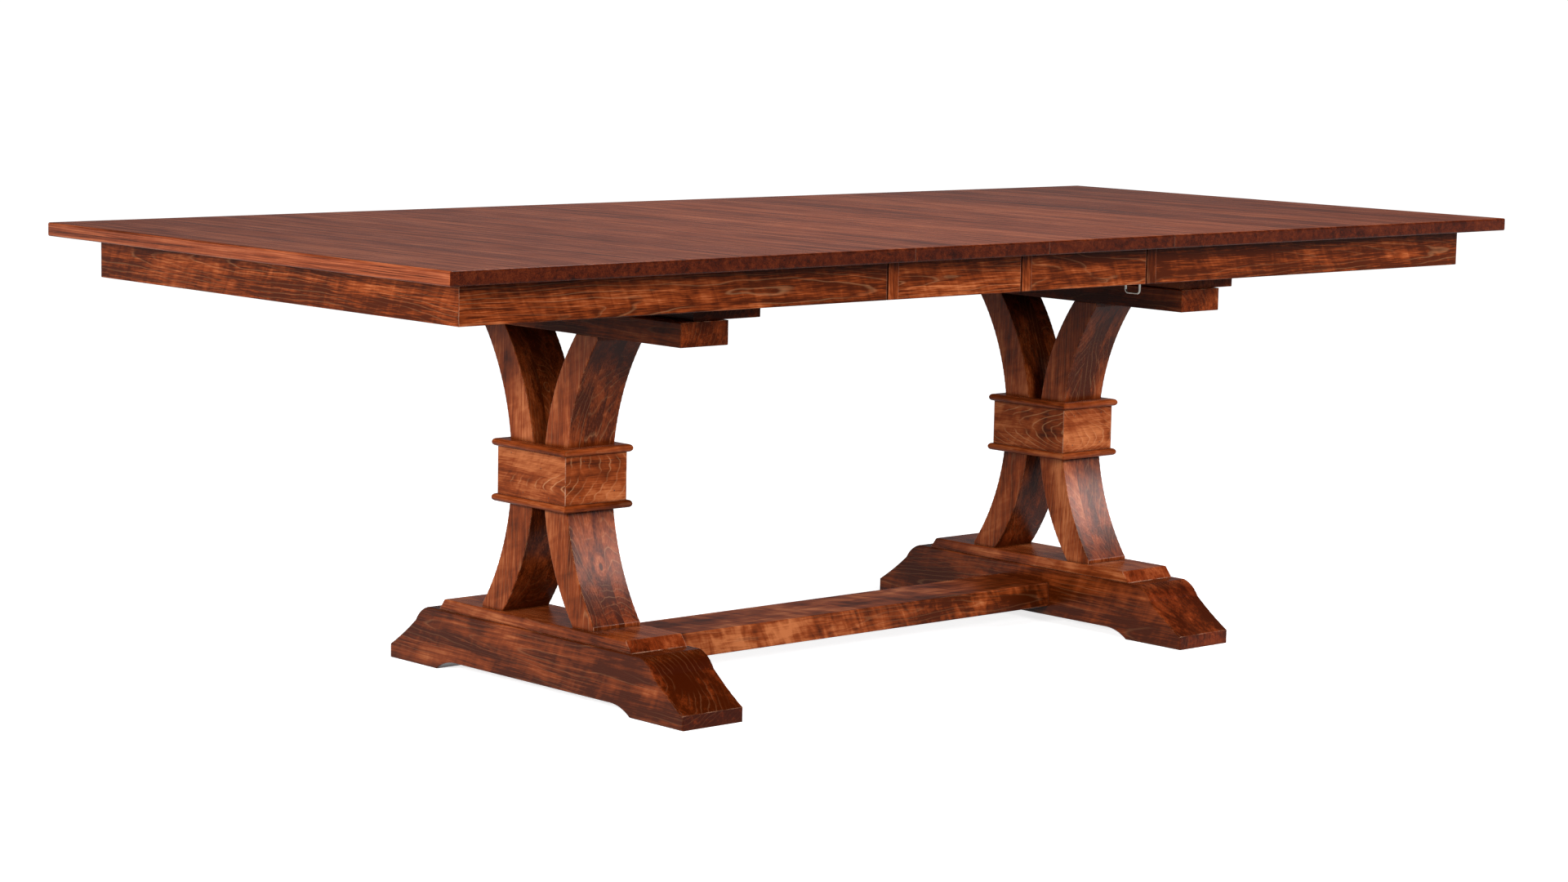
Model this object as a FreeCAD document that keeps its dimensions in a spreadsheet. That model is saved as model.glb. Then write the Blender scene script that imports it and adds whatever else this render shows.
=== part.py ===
import FreeCAD, Part
import math
import os
import Sketcher

# Trestle dining table with a plank top in two halves and two lift-out leaves.
# Millimetres. X runs along the table, the front long side faces -Y, Z is up,
# and the origin is on the floor under the middle of the top.

Vector = FreeCAD.Vector
doc = FreeCAD.newDocument("trestle_table")
sheet = doc.addObject("Spreadsheet::Sheet", "Sizes")


class Size:
    """A number in millimetres, with the formula that ties it to the sheet."""

    def __init__(self, value, formula):
        self.value = value
        self.formula = formula

    def __add__(self, other):
        other = as_size(other)
        return Size(self.value + other.value, f"({self.formula} + {other.formula})")

    def __sub__(self, other):
        other = as_size(other)
        return Size(self.value - other.value, f"({self.formula} - {other.formula})")

    def __mul__(self, other):
        other = as_size(other)
        return Size(self.value * other.value, f"({self.formula} * {other.formula})")

    def __truediv__(self, other):
        other = as_size(other)
        return Size(self.value / other.value, f"({self.formula} / {other.formula})")

    def __neg__(self):
        return Size(-self.value, f"(-1 * {self.formula})")

    def root(self):
        return Size(math.sqrt(self.value), f"sqrt({self.formula})")


def as_size(number):
    if isinstance(number, Size):
        return number
    return Size(float(number), repr(float(number)))


def size(alias, millimetres):
    """Put one driving dimension in the sheet as a plain number."""
    row = size.count + 1
    size.count = row
    sheet.set(f"A{row}", alias)
    sheet.set(f"B{row}", repr(millimetres))
    sheet.setAlias(f"B{row}", alias)
    return Size(float(millimetres), f"Sizes.{alias}")


size.count = 0
NOTHING = as_size(0)

# Whole table
table_height = size("table_height", 762.0)
half_length = size("half_length", 914.4)
leaf_length = size("leaf_length", 304.8)
leaf_release = size("leaf_release", 40.0)
top_width = size("top_width", 1092.2)
top_thickness = size("top_thickness", 22.5)
seam_gap = size("seam_gap", 0.4)
top_ease = size("top_ease", 3.0)
seam_ease = size("seam_ease", 0.6)

# Aprons
apron_inset = size("apron_inset", 62.5)
apron_height = size("apron_height", 65.5)
apron_thickness = size("apron_thickness", 19.0)
apron_gap = size("apron_gap", 3.6)
end_block_width = size("end_block_width", 22.0)
board_ease = size("board_ease", 1.5)
corner_block_leg = size("corner_block_leg", 60.0)
corner_block_height = size("corner_block_height", 50.0)

# Pedestals
pedestal_offset = size("pedestal_offset", 584.2)
base_shift = size("base_shift", 7.3)
foot_length = size("foot_length", 780.0)
foot_width = size("foot_width", 127.0)
foot_height = size("foot_height", 103.0)
toe_height = size("toe_height", 24.0)
knee_run = size("knee_run", 72.0)
knee_height = size("knee_height", 76.0)
brow_run = size("brow_run", 106.0)
slope_hollow = size("slope_hollow", 1.5)
brow_swell = size("brow_swell", 4.5)
pad_length = size("pad_length", 132.0)
arch_height = size("arch_height", 16.5)
arch_cove_run = size("arch_cove_run", 50.0)
ogee_blend = size("ogee_blend", 10.0)
foot_ease = size("foot_ease", 2.0)

plinth_length = size("plinth_length", 512.0)
plinth_width = size("plinth_width", 117.0)
plinth_thickness = size("plinth_thickness", 19.0)
plinth_slope_run = size("plinth_slope_run", 15.0)
plinth_ease = size("plinth_ease", 2.0)

leg_width = size("leg_width", 99.0)
leg_outer_spread = size("leg_outer_spread", 148.0)
leg_outer_waist = size("leg_outer_waist", 72.5)
leg_inner_spread = size("leg_inner_spread", 93.0)
leg_inner_waist = size("leg_inner_waist", 12.5)
leg_toe_height = size("leg_toe_height", 7.0)

collar_height = size("collar_height", 80.0)
collar_thickness = size("collar_thickness", 15.0)
collar_fit = size("collar_fit", 0.2)
bead_height = size("bead_height", 12.5)
bead_projection = size("bead_projection", 8.5)
bead_round = size("bead_round", 6.0)

beam_length = size("beam_length", 710.0)
beam_height = size("beam_height", 40.0)

# Stretcher between the feet
stretcher_width = size("stretcher_width", 127.0)
stretcher_thickness = size("stretcher_thickness", 44.0)
stretcher_drop = size("stretcher_drop", 25.0)
tenon_width = size("tenon_width", 80.0)
tenon_thickness = size("tenon_thickness", 24.0)
tenon_length = size("tenon_length", 30.0)
tenon_fit = size("tenon_fit", 0.1)

# Mounting boards on the beams, and how far each lies off its beam's centre
mounting_length = size("mounting_length", 690.0)
mounting_width = size("mounting_width", 140.0)
mounting_thickness = size("mounting_thickness", 38.0)
left_mounting_shift = size("left_mounting_shift", 55.0)
right_mounting_shift = size("right_mounting_shift", 25.0)

# Geared slides
rail_height = size("rail_height", 58.5)
rail_overhang = size("rail_overhang", 105.8)
rail_width = size("rail_width", 41.0)
rail_offset = size("rail_offset", 270.0)
runner_width = size("runner_width", 34.0)
runner_end_gap = size("runner_end_gap", 57.7)
runner_inner_reach = size("runner_inner_reach", 100.0)
running_gap = size("running_gap", 0.4)
tongue_depth = size("tongue_depth", 8.0)
tongue_neck = size("tongue_neck", 12.0)
tongue_tip = size("tongue_tip", 18.0)
tongue_rise = size("tongue_rise", 18.0)
rack_depth = size("rack_depth", 12.0)
rack_height = size("rack_height", 14.0)
rack_fit = size("rack_fit", 0.2)
gear_module = size("gear_module", 3.0)
pinion_thickness = size("pinion_thickness", 10.0)
pinion_cover = size("pinion_cover", 2.0)
pinion_seat = size("pinion_seat", 0.3)
pinion_room = size("pinion_room", 1.5)
spindle_radius = size("spindle_radius", 5.0)
spindle_length = size("spindle_length", 16.0)
spindle_clearance = size("spindle_clearance", 0.06)
gear_backlash = size("gear_backlash", 0.25)

# Screws and bolts
screw_radius = size("screw_radius", 2.5)
screw_head_radius = size("screw_head_radius", 5.0)
screw_head_height = size("screw_head_height", 4.0)
screw_bite = size("screw_bite", 13.0)
screw_well = size("screw_well", 24.0)
screw_end_margin = size("screw_end_margin", 50.0)
bolt_radius = size("bolt_radius", 4.0)
bolt_head_radius = size("bolt_head_radius", 7.5)
bolt_head_height = size("bolt_head_height", 5.0)
bolt_bite = size("bolt_bite", 28.0)
bolt_offset = size("bolt_offset", 150.0)

# Leaf locks: a wire bail on the right half, a catch on the leaf beside it
bail_wire_radius = size("bail_wire_radius", 1.7)
bail_width = size("bail_width", 32.0)
bail_length = size("bail_length", 79.5)
bail_bend = size("bail_bend", 6.0)
bail_setback = size("bail_setback", 20.0)
bail_inset = size("bail_inset", 29.6)
bail_drop = size("bail_drop", 6.0)
bail_clearance = size("bail_clearance", 0.08)
bracket_width = size("bracket_width", 18.0)
bracket_length = size("bracket_length", 10.0)
bracket_skirt = size("bracket_skirt", 3.5)
lock_plate_length = size("lock_plate_length", 34.0)
lock_plate_thickness = size("lock_plate_thickness", 2.0)
hook_drop = size("hook_drop", 10.0)
hook_room = size("hook_room", 0.5)

GEAR_TEETH = 16
PRESSURE_ANGLE = math.radians(25)
TOUCH = 1e-6
FLANK_POINTS = 6
SCREWS_PER_RUNNER = 3

# Heights, from the floor up
foot_top = foot_height
leg_bottom = foot_top + plinth_thickness
top_underside = table_height - top_thickness
rail_bottom = top_underside - rail_height
beam_top = rail_bottom - mounting_thickness
leg_top = beam_top - beam_height
leg_middle = (leg_bottom + leg_top) / 2
apron_bottom = top_underside - apron_height

# Places along and across the table
table_end = half_length + leaf_length
top_side = top_width / 2
apron_end = table_end - apron_inset
apron_side = top_side - apron_inset
left_pedestal_x = base_shift - pedestal_offset
right_pedestal_x = base_shift + pedestal_offset
runner_inner_face = rail_width / 2 + running_gap
runner_outer_face = runner_inner_face + runner_width
runner_outer_reach = apron_end - apron_thickness - runner_end_gap
rail_length = (pedestal_offset + rail_overhang) * 2
bail_offset = apron_side - apron_thickness - bail_inset


def arc_radius(chord, rise):
    """Radius of the arc that stands this high over its chord."""
    return chord * chord / (rise * 8) + rise / 2


def arc_fall(radius, distance):
    """How far an arc falls from its crown at a distance along the tangent."""
    return radius - (radius * radius - distance * distance).root()


outer_arc = arc_radius(leg_top - leg_bottom - leg_toe_height * 2, leg_outer_spread - leg_outer_waist)
inner_arc = arc_radius(leg_top - leg_bottom, leg_inner_spread - leg_inner_waist)
collar_inner_y = leg_outer_waist + arc_fall(outer_arc, collar_height / 2)
bead_inner_y = leg_outer_waist + arc_fall(outer_arc, collar_height / 2 + bead_height) + collar_fit
collar_outer_x = leg_width / 2 + collar_thickness
collar_outer_y = collar_inner_y + collar_thickness
bead_outer_x = collar_outer_x + bead_projection
bead_inner_x = leg_width / 2 + collar_fit
bead_outer_y = collar_outer_y + bead_projection


def bind(thing, path, amount):
    thing.setExpression(path, as_size(amount).formula)


def place(thing, x, y, z):
    """Move a piece to a place that stays tied to the sheet."""
    x, y, z = as_size(x), as_size(y), as_size(z)
    thing.Placement = FreeCAD.Placement(Vector(x.value, y.value, z.value), thing.Placement.Rotation)
    bind(thing, "Placement.Base.x", x)
    bind(thing, "Placement.Base.y", y)
    bind(thing, "Placement.Base.z", z)


def fix_corner(sketch, edge, end, corner):
    """Hold one end of a sketched edge at a corner of the outline."""
    for kind, amount in (("DistanceX", corner[0]), ("DistanceY", corner[1])):
        rule = sketch.addConstraint(Sketcher.Constraint(kind, -1, 1, edge, end, amount.value))
        sketch.setExpression(f"Constraints[{rule}]", amount.formula)


def middle_of_arc(start, end, rise):
    """The crown of an arc: a positive rise bows it to the left of start to end."""
    chord = end - start
    across = Vector(-chord.y, chord.x, 0).normalize()
    return (start + end) / 2 + across * rise


def draw_outline(sketch, corners, arcs):
    """Sketch a closed outline. arcs gives the rise of the edge after a corner."""
    corners = [(as_size(a), as_size(b)) for a, b in corners]
    points = [Vector(a.value, b.value, 0) for a, b in corners]
    ends = []
    for index, start in enumerate(points):
        follower = (index + 1) % len(points)
        end = points[follower]
        if index in arcs:
            crown = middle_of_arc(start, end, arcs[index].value)
            clockwise = arcs[index].value > 0
            ordered = (end, crown, start) if clockwise else (start, crown, end)
            edge = sketch.addGeometry(Part.Arc(*ordered))
            ends.append((edge, 2, 1) if clockwise else (edge, 1, 2))
            across = corners[follower][0] - corners[index][0]
            along = corners[follower][1] - corners[index][1]
            rise = arcs[index] if arcs[index].value > 0 else -arcs[index]
            radius = (across * across + along * along) / (rise * 8) + rise / 2
            rule = sketch.addConstraint(Sketcher.Constraint("Radius", edge, radius.value))
            sketch.setExpression(f"Constraints[{rule}]", radius.formula)
        else:
            edge = sketch.addGeometry(Part.LineSegment(start, end))
            ends.append((edge, 1, 2))
    for index, (edge, first, last) in enumerate(ends):
        follower, follower_first, _ = ends[(index + 1) % len(ends)]
        fix_corner(sketch, edge, first, corners[index])
        sketch.addConstraint(Sketcher.Constraint("Coincident", edge, last, follower, follower_first))


def ease_edges(body, solid, eases):
    """Round edges in turn. Each ease is a radius and a test that picks its edges."""
    for radius, wanted in eases or []:
        body.recompute(True)
        names = [f"Edge{index + 1}" for index, edge in enumerate(solid.Shape.Edges) if wanted(edge)]
        fillet = body.newObject("PartDesign::Fillet", f"{body.Name}_ease")
        fillet.Base = (solid, names)
        bind(fillet, "Radius", radius)
        solid = fillet


def prism(label, plane, corners, depth, start, arcs=None, eases=None):
    """A body padded from an outline in the XY, XZ or YZ plane."""
    body = doc.addObject("PartDesign::Body", label)
    planes = {feature.Role: feature for feature in body.Origin.OriginFeatures}
    sketch = body.newObject("Sketcher::SketchObject", f"{label}_outline")
    sketch.AttachmentSupport = [(planes[f"{plane}_Plane"], "")]
    sketch.MapMode = "FlatFace"
    draw_outline(sketch, corners, arcs or {})
    pad = body.newObject("PartDesign::Pad", f"{label}_pad")
    pad.Profile = sketch
    bind(pad, "Length", depth)
    ease_edges(body, pad, eases)
    place(body, *start)
    return body


def board(label, low, high, eases=None):
    """A rectangular board from its lowest to its highest corner."""
    body = doc.addObject("PartDesign::Body", label)
    block = body.newObject("PartDesign::AdditiveBox", f"{label}_blank")
    for path, start, end in zip(("Length", "Width", "Height"), low, high):
        bind(block, path, as_size(end) - as_size(start))
    ease_edges(body, block, eases)
    place(body, *low)
    return body


def rod(label, radius, length, x, y, z):
    """An upright cylinder standing on the given point."""
    cylinder = doc.addObject("Part::Cylinder", label)
    bind(cylinder, "Radius", radius)
    bind(cylinder, "Height", length)
    place(cylinder, x, y, z)
    return cylinder


def cross_rod(label, radius, length, x, y, z):
    """A cylinder lying along Y, centred on the given point."""
    cylinder = doc.addObject("Part::Cylinder", label)
    bind(cylinder, "Radius", radius)
    bind(cylinder, "Height", length)
    cylinder.Placement = FreeCAD.Placement(Vector(0, 0, 0), FreeCAD.Rotation(Vector(1, 0, 0), -90))
    place(cylinder, x, as_size(y) - length / 2, z)
    return cylinder


def fuse(label, pieces):
    joined = doc.addObject("Part::MultiFuse", label)
    joined.Shapes = pieces
    return joined


def cut(label, base, tools):
    """Take the tools away from the base."""
    tool = tools[0] if len(tools) == 1 else fuse(f"{label}_tools", tools)
    result = doc.addObject("Part::Cut", label)
    result.Base = base
    result.Tool = tool
    return result


def group(label, pieces):
    """Separate solids that share one sub-part."""
    together = doc.addObject("Part::Compound", label)
    together.Links = pieces
    return together


# Tests that pick edges of a feature in its own body's frame

def same(first, second):
    return abs(first - second) < TOUCH


def runs_along(edge, axis):
    """True for a straight edge parallel to the axis."""
    if edge.Curve.TypeId != "Part::GeomLine":
        return False
    step = edge.Curve.Direction
    return same(abs(step[axis]), 1)


def middle(edge):
    return edge.CenterOfMass


def in_end_faces(axis, depth):
    """Picks the arrises round both end faces of a padded outline."""
    def wanted(edge):
        box = edge.BoundBox
        low = (box.XMin, box.YMin, box.ZMin)[axis]
        high = (box.XMax, box.YMax, box.ZMax)[axis]
        return same(low, high) and (same(low, 0) or same(low, depth.value))
    return wanted


def along_axis(axis):
    return lambda edge: runs_along(edge, axis)


# The top: two halves and two leaves

def top_section(label, start, end, outer_side):
    """One section of the plank top. outer_side is -1 or 1 at the table's end, 0 for a leaf."""
    low = start + seam_gap / 2 if outer_side >= 0 else start
    high = end - seam_gap / 2 if outer_side <= 0 else end
    length = high - low

    def outer_edge(edge):
        place_x = middle(edge).x
        if runs_along(edge, 0):
            return True
        at_end = length.value if outer_side > 0 else 0
        return outer_side != 0 and same(place_x, at_end)

    corner_low = (low, -top_side, top_underside)
    corner_high = (high, top_side, table_height)
    blank = f"{label}_blank" if outer_side else label
    return board(blank, corner_low, corner_high, [(top_ease, outer_edge)])


def runner_screw_places(side):
    """Places of the screws that hold the two runners of one half."""
    first = leaf_length + screw_end_margin
    last = runner_outer_reach - screw_end_margin
    places = []
    for slide in (-1, 1):
        y = rail_offset * slide - (runner_inner_face + runner_outer_face) / 2 * side
        for index in range(SCREWS_PER_RUNNER):
            share = index / (SCREWS_PER_RUNNER - 1)
            places.append(((first + (last - first) * share) * side, y))
    return places


def make_top():
    left_blank = top_section("left_top", -table_end, -leaf_length, -1)
    right_blank = top_section("right_top", leaf_length, table_end, 1)
    leaf_a = top_section("leaf_a_top", -leaf_length, NOTHING, 0)
    leaf_b = top_section("leaf_b_top", NOTHING, leaf_length, 0)
    halves = []
    for label, side, blank in (("left_top", -1, left_blank), ("right_top", 1, right_blank)):
        pilots = []
        for index, (x, y) in enumerate(runner_screw_places(side)):
            pilots.append(rod(f"{label}_pilot_{index}", screw_radius, screw_bite, x, y, top_underside))
        halves.append(cut(label, blank, pilots))
    return halves + [leaf_a, leaf_b]


# Aprons

def lower_outer_edge(side, thickness):
    """Picks the lower arris on a side apron's outer face."""
    def wanted(edge):
        outer = thickness.value if side > 0 else 0
        return runs_along(edge, 0) and same(middle(edge).z, 0) and same(middle(edge).y, outer)
    return wanted


def apron_board(label, start, end, side):
    """A straight piece of side apron. side is -1 at the front, 1 at the rear."""
    inner = apron_side - apron_thickness
    low_y = inner if side > 0 else -apron_side
    high_y = apron_side if side > 0 else -inner
    low = (start, low_y, apron_bottom)
    high = (end, high_y, top_underside)
    return board(label, low, high, [(board_ease, lower_outer_edge(side, apron_thickness))])


def apron_end_block(label, start, side):
    """The upright-grained block at an apron's seam end, flush with its face."""
    return apron_board(label, start, start + end_block_width, side)


def mitred_apron(label, start, side, face):
    """A half's side apron, mitred at the table's end. side is the end, face the long side."""
    inner = apron_end - apron_thickness
    corners = [(start * side, (apron_side - apron_thickness) * face),
               (inner * side, (apron_side - apron_thickness) * face),
               (apron_end * side, apron_side * face),
               (start * side, apron_side * face)]

    def wanted(edge):
        outer = same(abs(middle(edge).y), apron_side.value)
        return same(middle(edge).z, 0) and outer and runs_along(edge, 0)

    return prism(label, "XY", corners, apron_height, (NOTHING, NOTHING, apron_bottom), None,
                 [(board_ease, wanted)])


def end_apron(label, side):
    inner_x = apron_end - apron_thickness
    inner_y = apron_side - apron_thickness
    corners = [(inner_x * side, -inner_y), (apron_end * side, -apron_side),
               (apron_end * side, apron_side), (inner_x * side, inner_y)]

    def wanted(edge):
        outer = same(abs(middle(edge).x), apron_end.value)
        return same(middle(edge).z, 0) and outer and runs_along(edge, 1)

    return prism(label, "XY", corners, apron_height, (NOTHING, NOTHING, apron_bottom), None,
                 [(board_ease, wanted)])


def corner_blocks(label, side):
    """Three-cornered glue blocks where the aprons of one half meet."""
    blocks = []
    x = (apron_end - apron_thickness) * side
    back = (apron_end - apron_thickness - corner_block_leg) * side
    for name, face in (("front", -1), ("rear", 1)):
        y = (apron_side - apron_thickness) * face
        near = (apron_side - apron_thickness - corner_block_leg) * face
        start = (NOTHING, NOTHING, top_underside - corner_block_height)
        blocks.append(prism(f"{label}_{name}", "XY", [(x, y), (back, y), (x, near)], corner_block_height, start))
    return group(label, blocks)


def make_aprons():
    pieces = []
    seam = leaf_length + apron_gap / 2
    for name, face in (("front", -1), ("rear", 1)):
        pieces.append(mitred_apron(f"left_apron_{name}", seam, -1, face))
        pieces.append(mitred_apron(f"right_apron_{name}", seam + end_block_width, 1, face))
        for leaf, start in (("leaf_a", -leaf_length), ("leaf_b", NOTHING)):
            first = start + apron_gap / 2 + end_block_width
            last = start + leaf_length - apron_gap / 2
            pieces.append(apron_board(f"{leaf}_apron_{name}", first, last, face))
    for label, start in (("right", leaf_length), ("leaf_a", -leaf_length), ("leaf_b", NOTHING)):
        blocks = []
        for name, face in (("front", -1), ("rear", 1)):
            blocks.append(apron_end_block(f"{label}_end_block_{name}", start + apron_gap / 2, face))
        pieces.append(group(f"{label}_end_blocks", blocks))
    for label, side in (("left", -1), ("right", 1)):
        pieces.append(end_apron(f"{label}_apron_end", side))
        pieces.append(corner_blocks(f"{label}_corner_blocks", side))
    return pieces


# Geared slides. Each set has a fixed rail with a runner on either side.

def slide_grooves(side):
    """Corners of one dovetail groove, from the bottom up, on a side of the fixed rail."""
    middle_z = tongue_rise
    face = rail_width / 2 * side
    floor = (rail_width / 2 - tongue_depth) * side
    neck = tongue_neck / 2 + running_gap
    tip = tongue_tip / 2 + running_gap
    return [(face, middle_z - neck), (floor, middle_z - tip), (floor, middle_z + tip), (face, middle_z + neck)]


def fixed_rail(label, y):
    half = rail_width / 2
    right_side = [(half, NOTHING)] + slide_grooves(1) + [(half, rail_height)]
    left_side = [(-half, rail_height)] + slide_grooves(-1)[::-1] + [(-half, NOTHING)]
    blank = prism(f"{label}_blank", "YZ", right_side + left_side, rail_length, (-rail_length / 2, y, rail_bottom))
    pocket_half = gear_module * (GEAR_TEETH / 2 + 1) + pinion_room
    pocket_floor = top_underside - pinion_cover - pinion_thickness - pinion_seat
    pocket = board(f"{label}_pocket", (-pocket_half, y - rail_width, pocket_floor),
                   (pocket_half, y + rail_width, top_underside + pinion_room))
    bore_depth = spindle_length + pinion_room
    bore = rod(f"{label}_bore", spindle_radius + spindle_clearance, bore_depth + pinion_room,
               NOTHING, y, pocket_floor - bore_depth)
    return cut(label, blank, [pocket, bore])


def runner(label, y, side):
    """The runner under one half. side -1 is the left half's, on the rail's +Y side."""
    to_y = -side
    inner = runner_inner_face * to_y
    outer = runner_outer_face * to_y
    tip = (runner_inner_face - tongue_depth) * to_y
    shelf = (runner_inner_face + rack_depth) * to_y
    low = running_gap
    corners = [(inner, low), (outer, low), (outer, rail_height), (shelf, rail_height),
               (shelf, rail_height - rack_height), (inner, rail_height - rack_height),
               (inner, tongue_rise + tongue_neck / 2), (tip, tongue_rise + tongue_tip / 2),
               (tip, tongue_rise - tongue_tip / 2), (inner, tongue_rise - tongue_neck / 2)]
    length = runner_outer_reach + runner_inner_reach
    start = -runner_outer_reach if side < 0 else -runner_inner_reach
    blank = prism(f"{label}_blank", "YZ", corners, length, (start, y, rail_bottom))
    wells = []
    for index, (x, screw_y) in enumerate(runner_screw_places(side)):
        if (screw_y.value > 0) != (y.value > 0):
            continue
        wells.append(rod(f"{label}_well_{index}", screw_head_radius, screw_well, x, screw_y, rail_bottom))
        wells.append(rod(f"{label}_hole_{index}", screw_radius, rail_height * 2, x, screw_y, rail_bottom))
    return cut(label, blank, wells)


def runner_screws(label, side):
    """Round-headed screws up through the runners into one half of the top."""
    screws = []
    head_bottom = rail_bottom + screw_well - screw_head_height
    shank = top_underside + screw_bite - rail_bottom - screw_well
    for index, (x, y) in enumerate(runner_screw_places(side)):
        head = rod(f"{label}_head_{index}", screw_head_radius, screw_head_height, x, y, head_bottom)
        body = rod(f"{label}_shank_{index}", screw_radius, shank + screw_head_height, x, y, head_bottom)
        screws.append(fuse(f"{label}_{index}", [head, body]))
    return group(label, screws)


def rack_shape(y, side):
    """A toothed bar seated in the runner's rebate. Its pitch line is one pinion radius away."""
    module = gear_module.value
    pitch = math.pi * module
    pitch_radius = module * GEAR_TEETH / 2
    slope = math.tan(PRESSURE_ANGLE)
    tip_y = runner_inner_face.value + rack_fit.value
    tip_depth = pitch_radius - tip_y
    root_y = pitch_radius + 1.25 * module
    back_y = runner_inner_face.value + rack_depth.value
    half_tooth = pitch / 4 - gear_backlash.value / 2
    teeth_for_closing = math.ceil(leaf_length.value / pitch) + 1
    teeth_for_release = math.ceil(leaf_release.value / pitch) + 1
    first = -teeth_for_closing if side < 0 else -teeth_for_release
    last = teeth_for_release if side < 0 else teeth_for_closing
    low_x = (first - 0.5) * pitch + pitch / 2
    high_x = (last + 0.5) * pitch - pitch / 2
    points = [Vector(low_x, back_y, 0), Vector(low_x, root_y, 0)]
    for tooth in range(first, last):
        x = (tooth + 0.5) * pitch
        root_half = half_tooth + (root_y - pitch_radius) * slope
        tip_half = half_tooth - tip_depth * slope
        points.append(Vector(x - root_half, root_y, 0))
        points.append(Vector(x - tip_half, tip_y, 0))
        points.append(Vector(x + tip_half, tip_y, 0))
        points.append(Vector(x + root_half, root_y, 0))
    points += [Vector(high_x, root_y, 0), Vector(high_x, back_y, 0)]
    points = [Vector(point.x, point.y * -side + y.value, 0) for point in points]
    outline = Part.Face(Part.makePolygon(points + [points[0]]))
    height = rack_height.value - rack_fit.value * 2
    bar = outline.extrude(Vector(0, 0, height))
    bar.translate(Vector(0, 0, top_underside.value - rack_height.value))
    return bar


def racks(label, side):
    bars = []
    for name, slide in (("front", -1), ("rear", 1)):
        bar = doc.addObject("Part::Feature", f"{label}_{name}")
        bar.Shape = rack_shape(rail_offset * slide, side)
        bars.append(bar)
    return group(label, bars)


def pinion_outline():
    """Involute teeth with a gap on the X axis and on the Y axis of both racks."""
    module = gear_module.value
    pitch_radius = module * GEAR_TEETH / 2
    base_radius = pitch_radius * math.cos(PRESSURE_ANGLE)
    tip_radius = pitch_radius + module
    root_radius = pitch_radius - 1.25 * module
    pitch_angle = 2 * math.pi / GEAR_TEETH
    half_tooth = pitch_angle / 4 - gear_backlash.value / 2 / pitch_radius

    def involute(radius):
        ratio = base_radius / radius
        angle = math.acos(min(1, ratio))
        return math.tan(angle) - angle

    reach = half_tooth + involute(pitch_radius)
    start_radius = max(base_radius, root_radius)
    points = []
    for tooth in range(GEAR_TEETH):
        centre = tooth * pitch_angle + math.pi / 2
        flank = []
        for step in range(FLANK_POINTS):
            radius = start_radius + (tip_radius - start_radius) * step / (FLANK_POINTS - 1)
            flank.append((radius, reach - involute(radius)))
        flank.insert(0, (root_radius, flank[0][1]))
        points += [(radius, centre - angle) for radius, angle in flank]
        points += [(radius, centre + angle) for radius, angle in reversed(flank)]
    return [Vector(radius * math.cos(angle), radius * math.sin(angle), 0) for radius, angle in points]


def pinion(label, y):
    """A toothed wheel with its own spindle, turning in the fixed rail."""
    outline = pinion_outline()
    wheel = Part.Face(Part.makePolygon(outline + [outline[0]])).extrude(Vector(0, 0, pinion_thickness.value))
    spindle = Part.makeCylinder(spindle_radius.value, spindle_length.value, Vector(0, 0, -spindle_length.value))
    gear = doc.addObject("Part::Feature", label)
    gear.Shape = wheel.fuse(spindle).removeSplitter()
    bottom = top_underside - pinion_cover - pinion_thickness
    place(gear, NOTHING, y, bottom)
    return gear


def make_slides():
    pieces = []
    for name, slide in (("front", -1), ("rear", 1)):
        y = rail_offset * slide
        pieces.append(fixed_rail(f"{name}_fixed_rail", y))
        pieces.append(pinion(f"{name}_pinion", y))
        pieces.append(runner(f"left_runner_{name}", y, -1))
        pieces.append(runner(f"right_runner_{name}", y, 1))
    for label, side in (("left", -1), ("right", 1)):
        pieces.append(racks(f"{label}_racks", side))
        pieces.append(runner_screws(f"{label}_runner_screws", side))
    return pieces


# Pedestals

def mirrored(corners):
    """Corners on one side of the middle, followed by their mirror images."""
    return corners + [(-a, b) for a, b in reversed(corners)]


def foot(label, x, inner_side):
    """The trestle foot, with ogee ends, an arched underside and the stretcher's mortise."""
    half = foot_length / 2
    pad_end = half - pad_length
    cove_end = pad_end - arch_cove_run
    cove_square = arch_cove_run * arch_cove_run + arch_height * arch_height
    cove_rise = arc_fall(cove_square / (arch_height * 2), cove_square.root() / 2)
    right_half = [(cove_end, arch_height), (pad_end, NOTHING), (half, NOTHING), (half, toe_height),
                  (half - knee_run, knee_height), (half - brow_run, foot_height)]
    corners = mirrored(right_half)
    arcs = {0: cove_rise, 3: slope_hollow, 4: -brow_swell,
            6: -brow_swell, 7: slope_hollow, 10: cove_rise}
    start = (x - foot_width / 2, NOTHING, NOTHING)

    def ogee_edge(edge):
        reach = abs(middle(edge).y)
        return runs_along(edge, 0) and (same(reach, (half - knee_run).value) or same(reach, (half - brow_run).value))

    eases = [(ogee_blend, ogee_edge), (foot_ease, in_end_faces(0, foot_width))]
    blank = prism(f"{label}_blank", "YZ", corners, foot_width, start, arcs, eases)
    face = x + foot_width / 2 * inner_side
    deep = face - (tenon_length + tenon_fit) * inner_side
    low_x, high_x = (deep, face + tenon_fit) if inner_side > 0 else (face - tenon_fit, deep)
    mortise = board(f"{label}_mortise", (low_x, -tenon_width / 2 - tenon_fit, tenon_bottom - tenon_fit),
                    (high_x, tenon_width / 2 + tenon_fit, tenon_bottom + tenon_thickness + tenon_fit))
    return cut(label, blank, [mortise])


def plinth(label, x):
    half = plinth_length / 2
    corners = mirrored([(half, NOTHING), (half - plinth_slope_run, plinth_thickness)])

    def upper_edge(edge):
        return middle(edge).z > plinth_thickness.value - TOUCH

    start = (x - plinth_width / 2, NOTHING, foot_top)
    return prism(label, "YZ", corners, plinth_width, start, None, [(plinth_ease, upper_edge)])


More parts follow.
